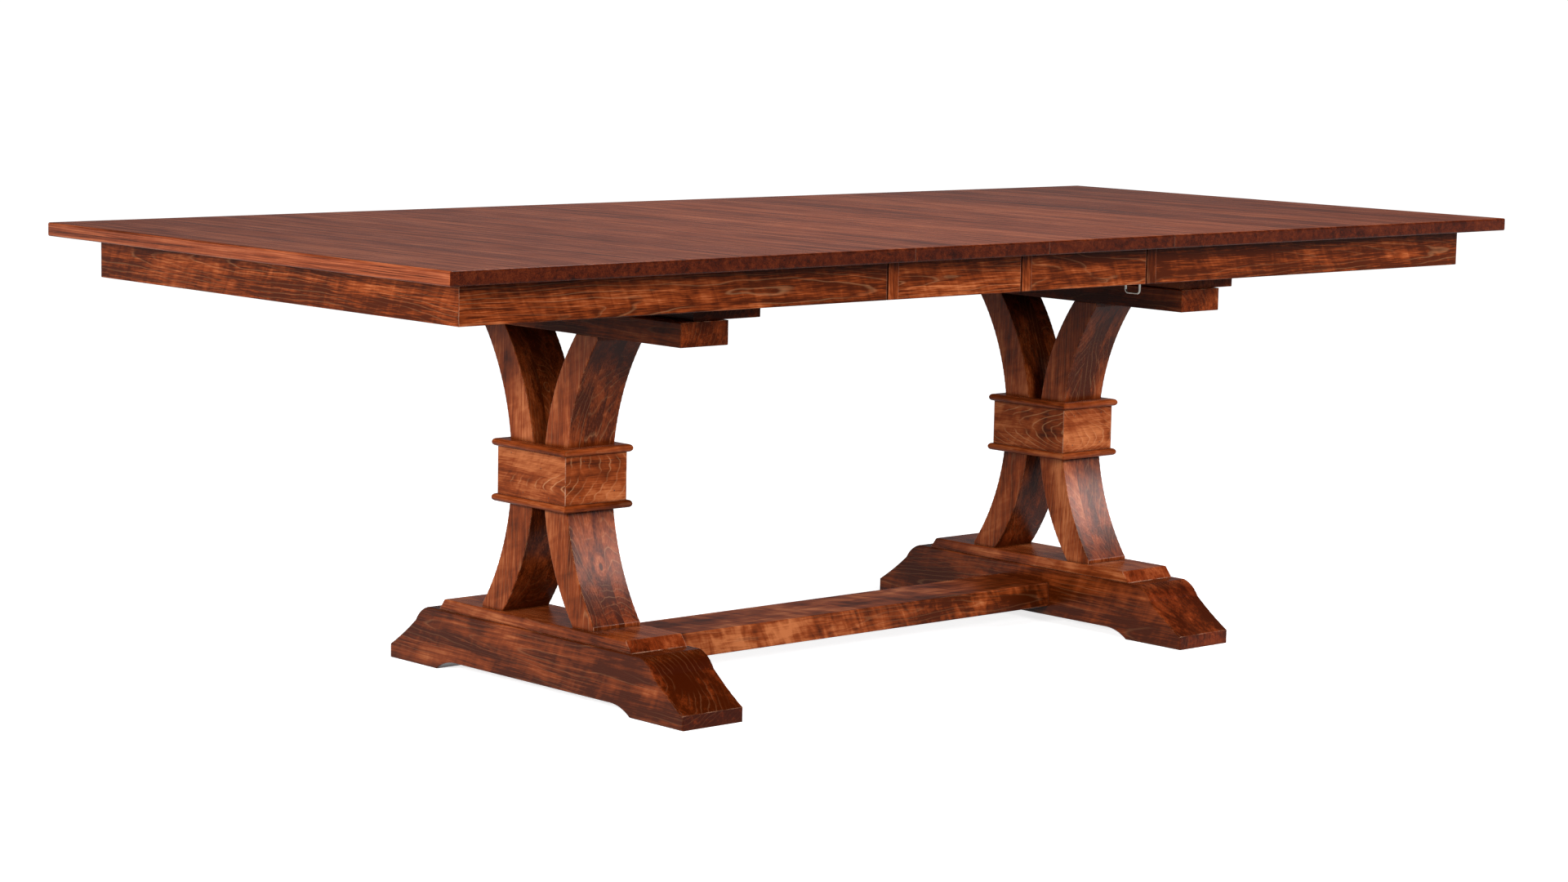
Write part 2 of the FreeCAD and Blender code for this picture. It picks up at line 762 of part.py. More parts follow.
def leg(label, x, face):
    """A curved plank. face is -1 for the front leg, 1 for the rear one."""
    height = leg_top - leg_bottom
    corners = [(leg_inner_spread, NOTHING), (leg_outer_spread, NOTHING), (leg_outer_spread, leg_toe_height),
               (leg_outer_spread, height - leg_toe_height), (leg_outer_spread, height), (leg_inner_spread, height)]
    corners = [(y * face, z) for y, z in corners]
    arcs = {2: (leg_outer_spread - leg_outer_waist) * face, 5: (leg_inner_waist - leg_inner_spread) * face}

    def arris(edge):
        curved = not runs_along(edge, 0) and edge.BoundBox.ZLength > leg_toe_height.value * 2
        return curved

    start = (x - leg_width / 2, NOTHING, leg_bottom)
    return prism(label, "YZ", corners, leg_width, start, arcs, [(board_ease, arris)])


def collar_core(label, x):
    """The spacer between the two legs, as high as the collar."""
    waist = leg_inner_waist
    fall = arc_fall(inner_arc, collar_height / 2)
    edge = waist + fall
    corners = [(-edge, NOTHING), (edge, NOTHING), (edge, collar_height), (-edge, collar_height)]
    arcs = {1: fall, 3: fall}
    start = (x - leg_width / 2, NOTHING, leg_middle - collar_height / 2)
    return prism(label, "YZ", corners, leg_width, start, arcs)


def frame_strips(label, x, bottom, height, inner, outer, eases=None):
    """Four mitred strips round the legs, as two groups: across the table and along it."""
    inner_x, inner_y = inner
    outer_x, outer_y = outer
    strips = {"side": [], "end": []}
    for number, side in ((1, -1), (2, 1)):
        side_corners = [(inner_x * side, -inner_y), (outer_x * side, -outer_y),
                        (outer_x * side, outer_y), (inner_x * side, inner_y)]
        end_corners = [(-inner_x, inner_y * side), (-outer_x, outer_y * side),
                       (outer_x, outer_y * side), (inner_x, inner_y * side)]
        for kind, corners in (("side", side_corners), ("end", end_corners)):
            strip = prism(f"{label}_{kind}_{number}", "XY", corners, height, (x, NOTHING, bottom), None, eases)
            strips[kind].append(strip)
    return strips


def bead_ring(label, x, bottom):
    def outer_arris(edge):
        place_x, place_y = abs(middle(edge).x), abs(middle(edge).y)
        level = same(edge.BoundBox.ZLength, 0)
        return level and (same(place_x, bead_outer_x.value) or same(place_y, bead_outer_y.value))

    inner = (bead_inner_x, bead_inner_y)
    outer = (bead_outer_x, bead_outer_y)
    strips = frame_strips(label, x, bottom, bead_height, inner, outer, [(bead_round, outer_arris)])
    return group(label, strips["side"] + strips["end"])


def collar(label, x):
    bottom = leg_middle - collar_height / 2
    inner = (leg_width / 2, collar_inner_y)
    outer = (collar_outer_x, collar_outer_y)
    panels = frame_strips(f"{label}_collar_panel", x, bottom, collar_height, inner, outer)
    return [collar_core(f"{label}_collar_core", x),
            group(f"{label}_collar_side_panels", panels["side"]),
            group(f"{label}_collar_end_panels", panels["end"]),
            bead_ring(f"{label}_collar_upper_bead", x, bottom + collar_height),
            bead_ring(f"{label}_collar_lower_bead", x, bottom - bead_height)]


def bolt_places(x):
    return [(x, bolt_offset), (x, -bolt_offset)]


def beam(label, x):
    """The beam across the top of a pedestal, drilled for the mounting board's bolts."""
    low = (x - leg_width / 2, -beam_length / 2, leg_top)
    high = (x + leg_width / 2, beam_length / 2, beam_top)

    def arris(edge):
        return runs_along(edge, 1) or same(middle(edge).z, 0) or runs_along(edge, 2)

    blank = board(f"{label}_blank", low, high, [(board_ease, arris)])
    holes = [rod(f"{label}_hole_{index}", bolt_radius, bolt_bite, px, py, beam_top - bolt_bite)
             for index, (px, py) in enumerate(bolt_places(x))]
    return cut(label, blank, holes)


def mounting_board(label, x, shift):
    centre = x + shift
    low = (centre - mounting_width / 2, -mounting_length / 2, beam_top)
    high = (centre + mounting_width / 2, mounting_length / 2, rail_bottom)
    blank = board(f"{label}_blank", low, high, [(board_ease, along_axis(1))])
    holes = [rod(f"{label}_hole_{index}", bolt_radius, mounting_thickness, px, py, beam_top)
             for index, (px, py) in enumerate(bolt_places(x))]
    return cut(label, blank, holes)


def mounting_bolts(label):
    """Lag bolts down through the mounting boards into the beams."""
    bolts = []
    for side, x in (("left", left_pedestal_x), ("right", right_pedestal_x)):
        for index, (px, py) in enumerate(bolt_places(x)):
            name = f"{label}_{side}_{index}"
            head = rod(f"{name}_head", bolt_head_radius, bolt_head_height, px, py, rail_bottom)
            length = bolt_bite + mounting_thickness + bolt_head_height
            shank = rod(f"{name}_shank", bolt_radius, length, px, py, beam_top - bolt_bite)
            bolts.append(fuse(name, [head, shank]))
    return group(label, bolts)


stretcher_bottom = foot_top - stretcher_drop - stretcher_thickness
tenon_bottom = stretcher_bottom + (stretcher_thickness - tenon_thickness) / 2


def stretcher(label):
    """The flat rail between the feet, with a stub tenon at each end."""
    low_x = left_pedestal_x + foot_width / 2
    high_x = right_pedestal_x - foot_width / 2
    rail = board(f"{label}_rail", (low_x, -stretcher_width / 2, stretcher_bottom),
                 (high_x, stretcher_width / 2, stretcher_bottom + stretcher_thickness),
                 [(board_ease, along_axis(0))])
    tongue = board(f"{label}_tenons", (low_x - tenon_length, -tenon_width / 2, tenon_bottom),
                   (high_x + tenon_length, tenon_width / 2, tenon_bottom + tenon_thickness))
    return fuse(label, [rail, tongue])


def make_base():
    pieces = [stretcher("stretcher"), mounting_bolts("mounting_bolts")]
    for label, x, inner_side, shift in (("left", left_pedestal_x, 1, left_mounting_shift),
                                        ("right", right_pedestal_x, -1, right_mounting_shift)):
        pieces.append(foot(f"{label}_foot", x, inner_side))
        pieces.append(plinth(f"{label}_plinth", x))
        pieces.append(leg(f"{label}_leg_front", x, -1))
        pieces.append(leg(f"{label}_leg_rear", x, 1))
        pieces += collar(label, x)
        pieces.append(beam(f"{label}_beam", x))
        pieces.append(mounting_board(f"{label}_mounting_board", x, shift))
    return pieces


# Leaf locks

bail_x = leaf_length + bail_setback
bail_axis_z = top_underside - bail_drop


def bail(label, y):
    """A wire loop hanging from its bracket: two legs, a pivot bar above and a cross bar below."""
    half = bail_width.value / 2
    drop = bail_length.value
    bend = bail_bend.value
    corner_points = [Vector(0, -half, 0), Vector(0, half, 0), Vector(0, half, -drop), Vector(0, -half, -drop)]
    edges = []
    for index, corner in enumerate(corner_points):
        before = (corner_points[index - 1] - corner).normalize()
        after = (corner_points[(index + 1) % 4] - corner).normalize()
        start = corner + before * bend
        end = corner + after * bend
        crown = corner + (before + after) * bend * (1 - math.sqrt(0.5))
        edges.append(Part.Arc(start, crown, end).toShape())
        next_corner = corner_points[(index + 1) % 4]
        edges.append(Part.LineSegment(end, next_corner - after * bend).toShape())
    loop = doc.addObject("Part::Feature", label)
    loop.Shape = swept_loop(edges)
    place(loop, bail_x, y, bail_axis_z)
    return loop


def swept_loop(edges):
    """The wire's straight runs and bends, each swept by itself and joined."""
    pieces = []
    for edge in edges:
        point = edge.valueAt(edge.FirstParameter)
        along = edge.tangentAt(edge.FirstParameter)
        circle = Part.Wire(Part.makeCircle(bail_wire_radius.value, point, along))
        pieces.append(Part.Wire([edge]).makePipeShell([circle], True, False))
    solid = pieces[0].fuse(pieces[1:])
    return solid.removeSplitter()


def bail_brackets(label):
    """A plate screwed under the right half, with a sleeve round the bail's pivot bar."""
    brackets = []
    for name, face in (("front", -1), ("rear", 1)):
        y = bail_offset * face
        plate = board(f"{label}_{name}_plate",
                      (bail_x - lock_plate_length / 2, y - bracket_width / 2, top_underside - lock_plate_thickness),
                      (bail_x + lock_plate_length / 2, y + bracket_width / 2, top_underside))
        sleeve = board(f"{label}_{name}_sleeve",
                       (bail_x - bracket_length / 2, y - bracket_width / 2, bail_axis_z - bracket_skirt),
                       (bail_x + bracket_length / 2, y + bracket_width / 2, top_underside - lock_plate_thickness))
        blank = fuse(f"{label}_{name}_blank", [plate, sleeve])
        bore = cross_rod(f"{label}_{name}_bore", bail_wire_radius + bail_clearance, bracket_width * 2,
                         bail_x, y, bail_axis_z)
        brackets.append(cut(f"{label}_{name}", blank, [bore]))
    return group(label, brackets)


def leaf_catches(label):
    """A plate under leaf B whose hook the bail's cross bar swings up behind."""
    hook_x = bail_x - bail_length + bail_wire_radius + hook_room
    catches = []
    for name, face in (("front", -1), ("rear", 1)):
        y = bail_offset * face
        plate = board(f"{label}_{name}_plate",
                      (hook_x, y - bracket_width / 2, top_underside - lock_plate_thickness),
                      (hook_x + lock_plate_length, y + bracket_width / 2, top_underside))
        hook = board(f"{label}_{name}_hook", (hook_x, y - bracket_width / 2, top_underside - hook_drop),
                     (hook_x + lock_plate_thickness, y + bracket_width / 2, top_underside))
        catches.append(fuse(f"{label}_{name}", [plate, hook]))
    return group(label, catches)


def make_locks():
    return [bail("front_bail", -bail_offset), bail("rear_bail", bail_offset),
            bail_brackets("bail_brackets"), leaf_catches("leaf_b_catches")]


def check_and_write(pieces):
    """Stop on any failed object, then write one file for each sub-part."""
    doc.recompute()
    for thing in doc.Objects:
        if "Invalid" in thing.State or "Error" in thing.State:
            raise RuntimeError(f"{thing.Label} failed: {thing.State}")
    os.makedirs("parts", exist_ok=True)
    for piece in pieces:
        shape = piece.Shape
        if shape.isNull() or not shape.isValid() or shape.Volume <= 0:
            raise RuntimeError(f"{piece.Label} has no valid solid")
    for piece in pieces:
        piece.Shape.exportStep(f"parts/{piece.Label}.step")
    print(len(pieces), "sub-parts")


doc.recompute()
check_and_write(make_top() + make_aprons() + make_slides() + make_base() + make_locks())
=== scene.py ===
import bpy
import bmesh
import math
from mathutils import Matrix, Vector


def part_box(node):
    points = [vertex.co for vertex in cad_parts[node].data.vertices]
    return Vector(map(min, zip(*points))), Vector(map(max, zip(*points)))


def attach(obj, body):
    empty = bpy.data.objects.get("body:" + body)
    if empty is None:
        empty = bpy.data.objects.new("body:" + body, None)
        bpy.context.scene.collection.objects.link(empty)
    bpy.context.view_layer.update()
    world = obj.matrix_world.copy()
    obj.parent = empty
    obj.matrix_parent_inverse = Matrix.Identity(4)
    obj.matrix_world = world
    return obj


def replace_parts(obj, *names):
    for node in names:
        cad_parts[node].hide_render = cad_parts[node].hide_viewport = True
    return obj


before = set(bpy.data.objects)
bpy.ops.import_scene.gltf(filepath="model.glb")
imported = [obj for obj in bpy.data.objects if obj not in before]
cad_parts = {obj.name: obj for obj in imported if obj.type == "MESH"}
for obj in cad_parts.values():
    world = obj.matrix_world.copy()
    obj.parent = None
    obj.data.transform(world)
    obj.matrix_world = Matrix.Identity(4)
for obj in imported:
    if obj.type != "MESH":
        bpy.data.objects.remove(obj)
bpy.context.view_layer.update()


# The camera stands in front of the table's left end, a little above the top

CAMERA_PLACE = (-4.31055, -4.668, 1.18945)
CAMERA_YAW = math.radians(42.164)       # from +Y towards +X
CAMERA_PITCH = math.radians(-7.329)
CAMERA_ROLL = math.radians(1.108)
CAMERA_SENSOR = 36                      # mm, like the lens
CAMERA_LENS = 83.659
CAMERA_REACH = 2000                     # m, so that the floor is seen up to the horizon


def set_camera():
    """The photograph's viewpoint, matched to the table's corners."""
    yaw, pitch, roll = CAMERA_YAW, CAMERA_PITCH, CAMERA_ROLL
    ahead = Vector((math.sin(yaw) * math.cos(pitch), math.cos(yaw) * math.cos(pitch), math.sin(pitch)))
    level_right = Vector((math.cos(yaw), -math.sin(yaw), 0))
    level_up = level_right.cross(ahead)
    right = level_right * math.cos(roll) + level_up * math.sin(roll)
    up = level_up * math.cos(roll) - level_right * math.sin(roll)
    lens = bpy.data.cameras.new("studio_camera")
    lens.sensor_width = CAMERA_SENSOR
    lens.lens = CAMERA_LENS
    lens.clip_end = CAMERA_REACH
    camera = bpy.data.objects.new("studio_camera", lens)
    turn = Matrix((right, up, -ahead)).transposed().to_4x4()
    camera.matrix_world = Matrix.Translation(CAMERA_PLACE) @ turn
    bpy.context.scene.collection.objects.link(camera)
    bpy.context.scene.camera = camera


# Small helpers for node trees

def put(tree, kind, **settings):
    """Add one node with its plain settings."""
    made = tree.nodes.new(kind)
    for name, value in settings.items():
        setattr(made, name, value)
    return made


def feed(tree, socket, source):
    """Join another socket to this one, or give it a plain value."""
    if isinstance(source, bpy.types.NodeSocket):
        tree.links.new(source, socket)
    else:
        socket.default_value = source


def reckon(tree, operation, *sources, clamp=False):
    """One step of arithmetic on numbers or sockets."""
    made = put(tree, "ShaderNodeMath", operation=operation, use_clamp=clamp)
    for socket, source in zip(made.inputs, sources):
        feed(tree, socket, source)
    return made.outputs[0]


def reckon_vector(tree, operation, *sources):
    """One step of arithmetic on places or directions."""
    made = put(tree, "ShaderNodeVectorMath", operation=operation)
    for socket, source in zip(made.inputs, sources):
        feed(tree, socket, source)
    return made.outputs["Value"] if operation in ("DOT_PRODUCT", "LENGTH") else made.outputs["Vector"]


def times(tree, first, second):
    return reckon(tree, "MULTIPLY", first, second)


def plus(tree, first, second):
    return reckon(tree, "ADD", first, second)


def combine(tree, *sources):
    """A vector from up to three numbers or sockets."""
    made = put(tree, "ShaderNodeCombineXYZ")
    for socket, source in zip(made.inputs, sources):
        feed(tree, socket, source)
    return made.outputs[0]


def split(tree, source, kind="ShaderNodeSeparateXYZ"):
    """The three parts of a vector, or of a colour."""
    made = put(tree, kind)
    feed(tree, made.inputs[0], source)
    return made.outputs


def blend_colours(tree, share, first, second, way="MIX"):
    """The first colour, and the second one where the share is 1."""
    made = put(tree, "ShaderNodeMix", data_type="RGBA", blend_type=way)
    feed(tree, made.inputs["Factor"], share)
    feed(tree, made.inputs["A"], first)
    feed(tree, made.inputs["B"], second)
    return made.outputs["Result"]


def between(tree, value, low, high):
    """0 up to the low value, 1 from the high one, and smooth between them."""
    made = put(tree, "ShaderNodeMapRange", interpolation_type="SMOOTHSTEP")
    feed(tree, made.inputs["Value"], value)
    feed(tree, made.inputs["From Min"], low)
    feed(tree, made.inputs["From Max"], high)
    return made.outputs["Result"]


def profile(tree, value, stops):
    """A curve through (place, height) stops, as a colour ramp of greys."""
    made = put(tree, "ShaderNodeValToRGB")
    ramp = made.color_ramp
    ramp.interpolation = "EASE"
    while len(ramp.elements) < len(stops):
        ramp.elements.new(0.5)
    for element, (place, height) in zip(ramp.elements, stops):
        element.position = place
        element.color = (height, height, height, 1)
    feed(tree, made.inputs["Fac"], value)
    return made.outputs["Color"]


def cloud(tree, place, stretch, detail=2.0, rough=0.5, twist=0.0):
    """Soft noise over a place, with so many waves per metre along each of its three directions."""
    scaled = reckon_vector(tree, "MULTIPLY", place, stretch)
    made = put(tree, "ShaderNodeTexNoise", noise_dimensions="3D")
    feed(tree, made.inputs["Vector"], scaled)
    feed(tree, made.inputs["Scale"], 1.0)
    feed(tree, made.inputs["Detail"], detail)
    feed(tree, made.inputs["Roughness"], rough)
    feed(tree, made.inputs["Distortion"], twist)
    return made.outputs


def new_group(name, inputs, outputs):
    """An empty node group with named sockets, its entry node and its result node."""
    tree = bpy.data.node_groups.new(name, "ShaderNodeTree")
    for label, kind, value in inputs:
        socket = tree.interface.new_socket(label, in_out="INPUT", socket_type=kind)
        if value is not None:
            socket.default_value = value
    for label, kind in outputs:
        tree.interface.new_socket(label, in_out="OUTPUT", socket_type=kind)
    return tree, tree.nodes.new("NodeGroupInput").outputs, tree.nodes.new("NodeGroupOutput").inputs


# Effects that several materials share

FLOAT = "NodeSocketFloat"
VECTOR = "NodeSocketVector"
COLOUR = "NodeSocketColor"

GRAIN_INPUTS = [
    ("Place", VECTOR, None), ("Facing", VECTOR, None), ("Seed", FLOAT, 0.0),
    ("Board Width", FLOAT, 1.0), ("Pith Spread", FLOAT, 0.06), ("Pith Depth", FLOAT, 0.05),
    ("Ring Width", FLOAT, 0.006), ("Ring Slope", FLOAT, 0.03), ("Ring Tone", FLOAT, 0.35),
    ("Ring Lines", FLOAT, 0.3), ("Fibres", FLOAT, 0.5), ("Streaks", FLOAT, 0.4), ("Blotches", FLOAT, 0.6),
    ("Curl", FLOAT, 0.2), ("Board Tone", FLOAT, 0.3), ("Tone", FLOAT, 0.5),
    ("Knot Place", VECTOR, (50.0, 50.0, 50.0)), ("Knot Size", FLOAT, 0.012),
    ("Deep Stain", COLOUR, None), ("Even Stain", COLOUR, None), ("Thin Stain", COLOUR, None),
    ("Line Stain", COLOUR, None), ("End Stain", COLOUR, (0.55, 0.42, 0.36, 1.0)),
    ("Flat Face Tone", FLOAT, 0.0), ("Grain Length", FLOAT, 1.0), ("Gloss Roughness", FLOAT, 0.32),
]
GRAIN_OUTPUTS = [("Color", COLOUR), ("Roughness", FLOAT), ("Height", FLOAT)]

# How often each pattern repeats per metre: along the grain, across the board and into it
RING_WAVES = (1.3, 5.5, 5.5)
RING_RIPPLES = (7.0, 34.0, 34.0)
LINE_BREAKS = (5.0, 24.0, 24.0)
FIBRE_WAVES = (24.0, 620.0, 620.0)
STREAK_WAVES = (4.0, 95.0, 95.0)
BLOTCH_WAVES = (8.0, 21.0, 21.0)
BROAD_WAVES = (2.2, 6.5, 6.5)
CURL_WAVES = (48.0, 15.0, 15.0)
PORE_WAVES = (900.0, 1400.0, 1400.0)

# How far waves and ripples push the rings, in metres
WAVE_PUSH = 0.075
RIPPLE_PUSH = 0.014

# How far apart the patterns of a panel's boards lie, and those of two pieces whose seeds differ by 1
BOARD_SHIFT = (7.0, 5.0, 6.0)
SEED_SHIFT = (3.71, 1.93, 2.57)

# A knot: how it lies drawn out, and how many times its own size it pushes the rings
KNOT_SQUEEZE = (0.6, 1.0, 0.05)
KNOT_PUSH = 1.6

# Shade across one ring, and the thin pale line where it ends: (share of the ring, height)
RING_SHADE = [(0.0, 0.62), (0.35, 0.58), (0.8, 0.22), (0.93, 0.08), (1.0, 0.62)]
RING_LINE = [(0.0, 1.0), (0.10, 0.0), (0.86, 0.0), (0.96, 1.0)]


def about_middle(tree, value, amount):
    """A 0 to 1 value, moved to run evenly about zero and then scaled."""
    return times(tree, reckon(tree, "SUBTRACT", value, 0.5), amount)


def board_picks(tree, given, across):
    """The board of a glued panel that a point lies on, and its own random colour."""
    row = reckon(tree, "FLOOR", plus(tree, reckon(tree, "DIVIDE", across, given["Board Width"]), 0.5))
    pick = put(tree, "ShaderNodeTexWhiteNoise", noise_dimensions="2D")
    feed(tree, pick.inputs["Vector"], combine(tree, row, given["Seed"]))
    return row, pick.outputs["Color"]


def pull_of_knot(tree, given):
    """1 in the middle of the knot and less and less away from it."""
    to_knot = reckon_vector(tree, "SUBTRACT", given["Place"], given["Knot Place"])
    flat_knot = reckon_vector(tree, "MULTIPLY", to_knot, KNOT_SQUEEZE)
    distance = reckon(tree, "DIVIDE", reckon_vector(tree, "LENGTH", flat_knot), given["Knot Size"])
    return reckon(tree, "DIVIDE", 1.0, plus(tree, reckon(tree, "POWER", distance, 2.0), 1.0))


def count_rings(tree, given, place, row, picks, knot_pull):
    """How many rings lie between a point and its board's heart. Slow waves bend them."""
    along, across, depth = split(tree, given["Place"])
    middle = (0.5, 0.5, 0.5)
    slow = cloud(tree, place, RING_WAVES, 1.0)["Color"]
    quick = cloud(tree, place, RING_RIPPLES, 2.0)["Color"]
    waves = split(tree, reckon_vector(tree, "SUBTRACT", slow, middle))
    ripples = split(tree, reckon_vector(tree, "SUBTRACT", quick, middle))

    def bent(value, index):
        push = plus(tree, times(tree, waves[index], WAVE_PUSH), times(tree, ripples[index], RIPPLE_PUSH))
        return plus(tree, value, push)

    spread = about_middle(tree, picks[0], given["Pith Spread"])
    heart_across = plus(tree, times(tree, row, given["Board Width"]), spread)
    heart_depth = times(tree, given["Pith Depth"], plus(tree, picks[1], 0.5))
    from_heart = combine(tree, bent(reckon(tree, "SUBTRACT", across, heart_across), 0),
                         bent(plus(tree, depth, heart_depth), 1))
    slope = times(tree, given["Ring Slope"], plus(tree, times(tree, picks[2], 0.8), 0.6))
    radius = plus(tree, reckon_vector(tree, "LENGTH", from_heart), times(tree, along, slope))
    radius = plus(tree, radius, times(tree, knot_pull, times(tree, given["Knot Size"], KNOT_PUSH)))
    return reckon(tree, "DIVIDE", radius, given["Ring Width"])


def ring_pattern(tree, given, place, rings):
    """The shade within a ring, its pale end line where that isn't broken, and the ring's own strength."""
    ring = reckon(tree, "FRACT", rings)
    pick = put(tree, "ShaderNodeTexWhiteNoise", noise_dimensions="1D")
    feed(tree, pick.inputs["W"], plus(tree, reckon(tree, "FLOOR", rings), given["Seed"]))
    strength = plus(tree, times(tree, pick.outputs["Value"], 0.8), 0.2)
    whole = between(tree, cloud(tree, place, LINE_BREAKS, 1.0)["Fac"], 0.36, 0.54)
    line = times(tree, times(tree, profile(tree, ring, RING_LINE), whole), strength)
    return profile(tree, ring, RING_SHADE), line, strength


def slanted_curl(tree, place, across, depth):
    """Ripples of light and dark that cross the grain a little aslant."""
    aslant = combine(tree, plus(tree, times(tree, across, 0.5), times(tree, depth, 0.4)))
    return cloud(tree, reckon_vector(tree, "ADD", place, aslant), CURL_WAVES, 3.0, 0.55, 0.8)["Fac"]


def build_maple_grain():
    """Sawn maple. Place runs along the grain in X, across the board in Y and into it in Z."""
    tree, given, result = new_group("maple_grain", GRAIN_INPUTS, GRAIN_OUTPUTS)
    across, depth = split(tree, given["Place"])[1:3]
    row, board_colour = board_picks(tree, given, across)
    picks = split(tree, board_colour, "ShaderNodeSeparateColor")
    shift = combine(tree, *(times(tree, given["Seed"], share) for share in SEED_SHIFT))
    board_shift = reckon_vector(tree, "MULTIPLY", board_colour, BOARD_SHIFT)
    place = reckon_vector(tree, "ADD", reckon_vector(tree, "ADD", given["Place"], shift), board_shift)

    knot_pull = pull_of_knot(tree, given)
    rings = count_rings(tree, given, place, row, picks, knot_pull)
    ring_shade, line, ring_strength = ring_pattern(tree, given, place, rings)

    # Fibres, wide streaks, blotches of stain, and curl across the grain
    squeeze = combine(tree, reckon(tree, "DIVIDE", 1.0, given["Grain Length"]), 1.0, 1.0)
    drawn = reckon_vector(tree, "MULTIPLY", place, squeeze)
    fibre = cloud(tree, drawn, FIBRE_WAVES, 3.0, 0.6)["Fac"]
    streak = cloud(tree, drawn, STREAK_WAVES, 3.0, 0.6)["Fac"]
    blotch = cloud(tree, place, BLOTCH_WAVES, 4.0, 0.6, 0.4)["Fac"]
    broad = cloud(tree, place, BROAD_WAVES, 2.0, 0.5)["Fac"]
    curl = slanted_curl(tree, place, across, depth)

    # Each pattern swings the tone about its middle, by its own strength
    ring_swing = times(tree, given["Ring Tone"], ring_strength)
    tone = plus(tree, given["Tone"], about_middle(tree, ring_shade, ring_swing))
    swings = ((fibre, "Fibres", 2.0), (streak, "Streaks", 2.4), (blotch, "Blotches", 2.2),
              (broad, "Blotches", 1.6), (curl, "Curl", 2.5), (picks[1], "Board Tone", 1.0))
    for value, label, swing in swings:
        tone = plus(tree, tone, about_middle(tree, value, times(tree, given[label], swing)))
    pale_halo = times(tree, between(tree, knot_pull, 0.3, 0.65), 0.5)
    dark_core = times(tree, between(tree, knot_pull, 0.86, 0.97), 0.85)
    tone = reckon(tree, "SUBTRACT", plus(tree, tone, pale_halo), dark_core)

    # End grain drinks more stain and shows pores, not fibres
    facing = split(tree, given["Facing"])
    end_grain = between(tree, reckon(tree, "ABSOLUTE", facing[0]), 0.35, 0.7)
    # Faces across the depth axis get Flat Face Tone: on the legs' wide front and rear faces it is painted
    # shade
    flat_face = between(tree, reckon(tree, "ABSOLUTE", facing[2]), 0.5, 0.8)
    tone = plus(tree, tone, times(tree, flat_face, given["Flat Face Tone"]))
    pores = cloud(tree, place, PORE_WAVES, 2.0, 0.6)["Fac"]
    tone = plus(tree, tone, times(tree, end_grain, about_middle(tree, pores, 0.5)))

    # The stain runs from deep through even to thin as the tone rises
    lower_half = reckon(tree, "MULTIPLY", tone, 2.0, clamp=True)
    upper_half = reckon(tree, "MULTIPLY_ADD", tone, 2.0, -1.0, clamp=True)
    colour = blend_colours(tree, lower_half, given["Deep Stain"], given["Even Stain"])
    colour = blend_colours(tree, upper_half, colour, given["Thin Stain"])
    colour = blend_colours(tree, times(tree, line, given["Ring Lines"]), colour, given["Line Stain"])
    colour = blend_colours(tree, end_grain, colour, given["End Stain"], "MULTIPLY")
    feed(tree, result["Color"], colour)

    rough = plus(tree, given["Gloss Roughness"], about_middle(tree, fibre, 0.10))
    rough = plus(tree, rough, about_middle(tree, blotch, -0.08))
    feed(tree, result["Roughness"], reckon(tree, "ADD", rough, times(tree, end_grain, 0.08), clamp=True))
    height = plus(tree, times(tree, fibre, 0.6), times(tree, streak, 0.3))
    height = reckon(tree, "SUBTRACT", height, times(tree, line, 0.12))
    feed(tree, result["Height"], plus(tree, height, times(tree, times(tree, end_grain, pores), 0.4)))
    return tree


# Rubbed edges and their painted highlight: how far the normal turns from bare to whole arris, and how the
# rubbing breaks off
EDGE_TURN = (0.01, 0.16)
RUB_WAVES = (60.0, 60.0, 60.0)
RUB_BREAKS = (0.3, 0.65)
EDGE_SAMPLES = 6


def build_rubbed_and_highlit_edges():
    """Sanded arrises: a mask along them for sanded-through stain and a painted highlight, broken up as
    rubbing leaves it, and the softened normal.
    """
    tree, given, result = new_group("rubbed_and_highlit_edges", [("Place", VECTOR, None), ("Width", FLOAT, 0.0022)],
                                    [("Mask", FLOAT), ("Soft Normal", VECTOR)])
    rounded = put(tree, "ShaderNodeBevel", samples=EDGE_SAMPLES)
    feed(tree, rounded.inputs["Radius"], given["Width"])
    surface = put(tree, "ShaderNodeNewGeometry")
    turn = reckon_vector(tree, "DOT_PRODUCT", rounded.outputs["Normal"], surface.outputs["Normal"])
    edge = between(tree, reckon(tree, "SUBTRACT", 1.0, turn), *EDGE_TURN)
    breaks = between(tree, cloud(tree, given["Place"], RUB_WAVES, 3.0, 0.6)["Fac"], *RUB_BREAKS)
    feed(tree, result["Mask"], times(tree, edge, breaks))
    feed(tree, result["Soft Normal"], rounded.outputs["Normal"])
    return tree


def build_glaze_and_painted_shade():
    """A mask of inside corners and joints, found by occlusion: the glaze that settles there, and painted
    shade.
    """
    tree, given, result = new_group("glaze_and_painted_shade", [("Reach", FLOAT, 0.012)], [("Mask", FLOAT)])
    hollow = put(tree, "ShaderNodeAmbientOcclusion", samples=EDGE_SAMPLES, only_local=False)
    feed(tree, hollow.inputs["Distance"], given["Reach"])
    feed(tree, result["Mask"], between(tree, hollow.outputs["AO"], 0.9, 0.45))
    return tree


maple_grain = build_maple_grain()
rubbed_and_highlit_edges = build_rubbed_and_highlit_edges()
glaze_and_painted_shade = build_glaze_and_painted_shade()

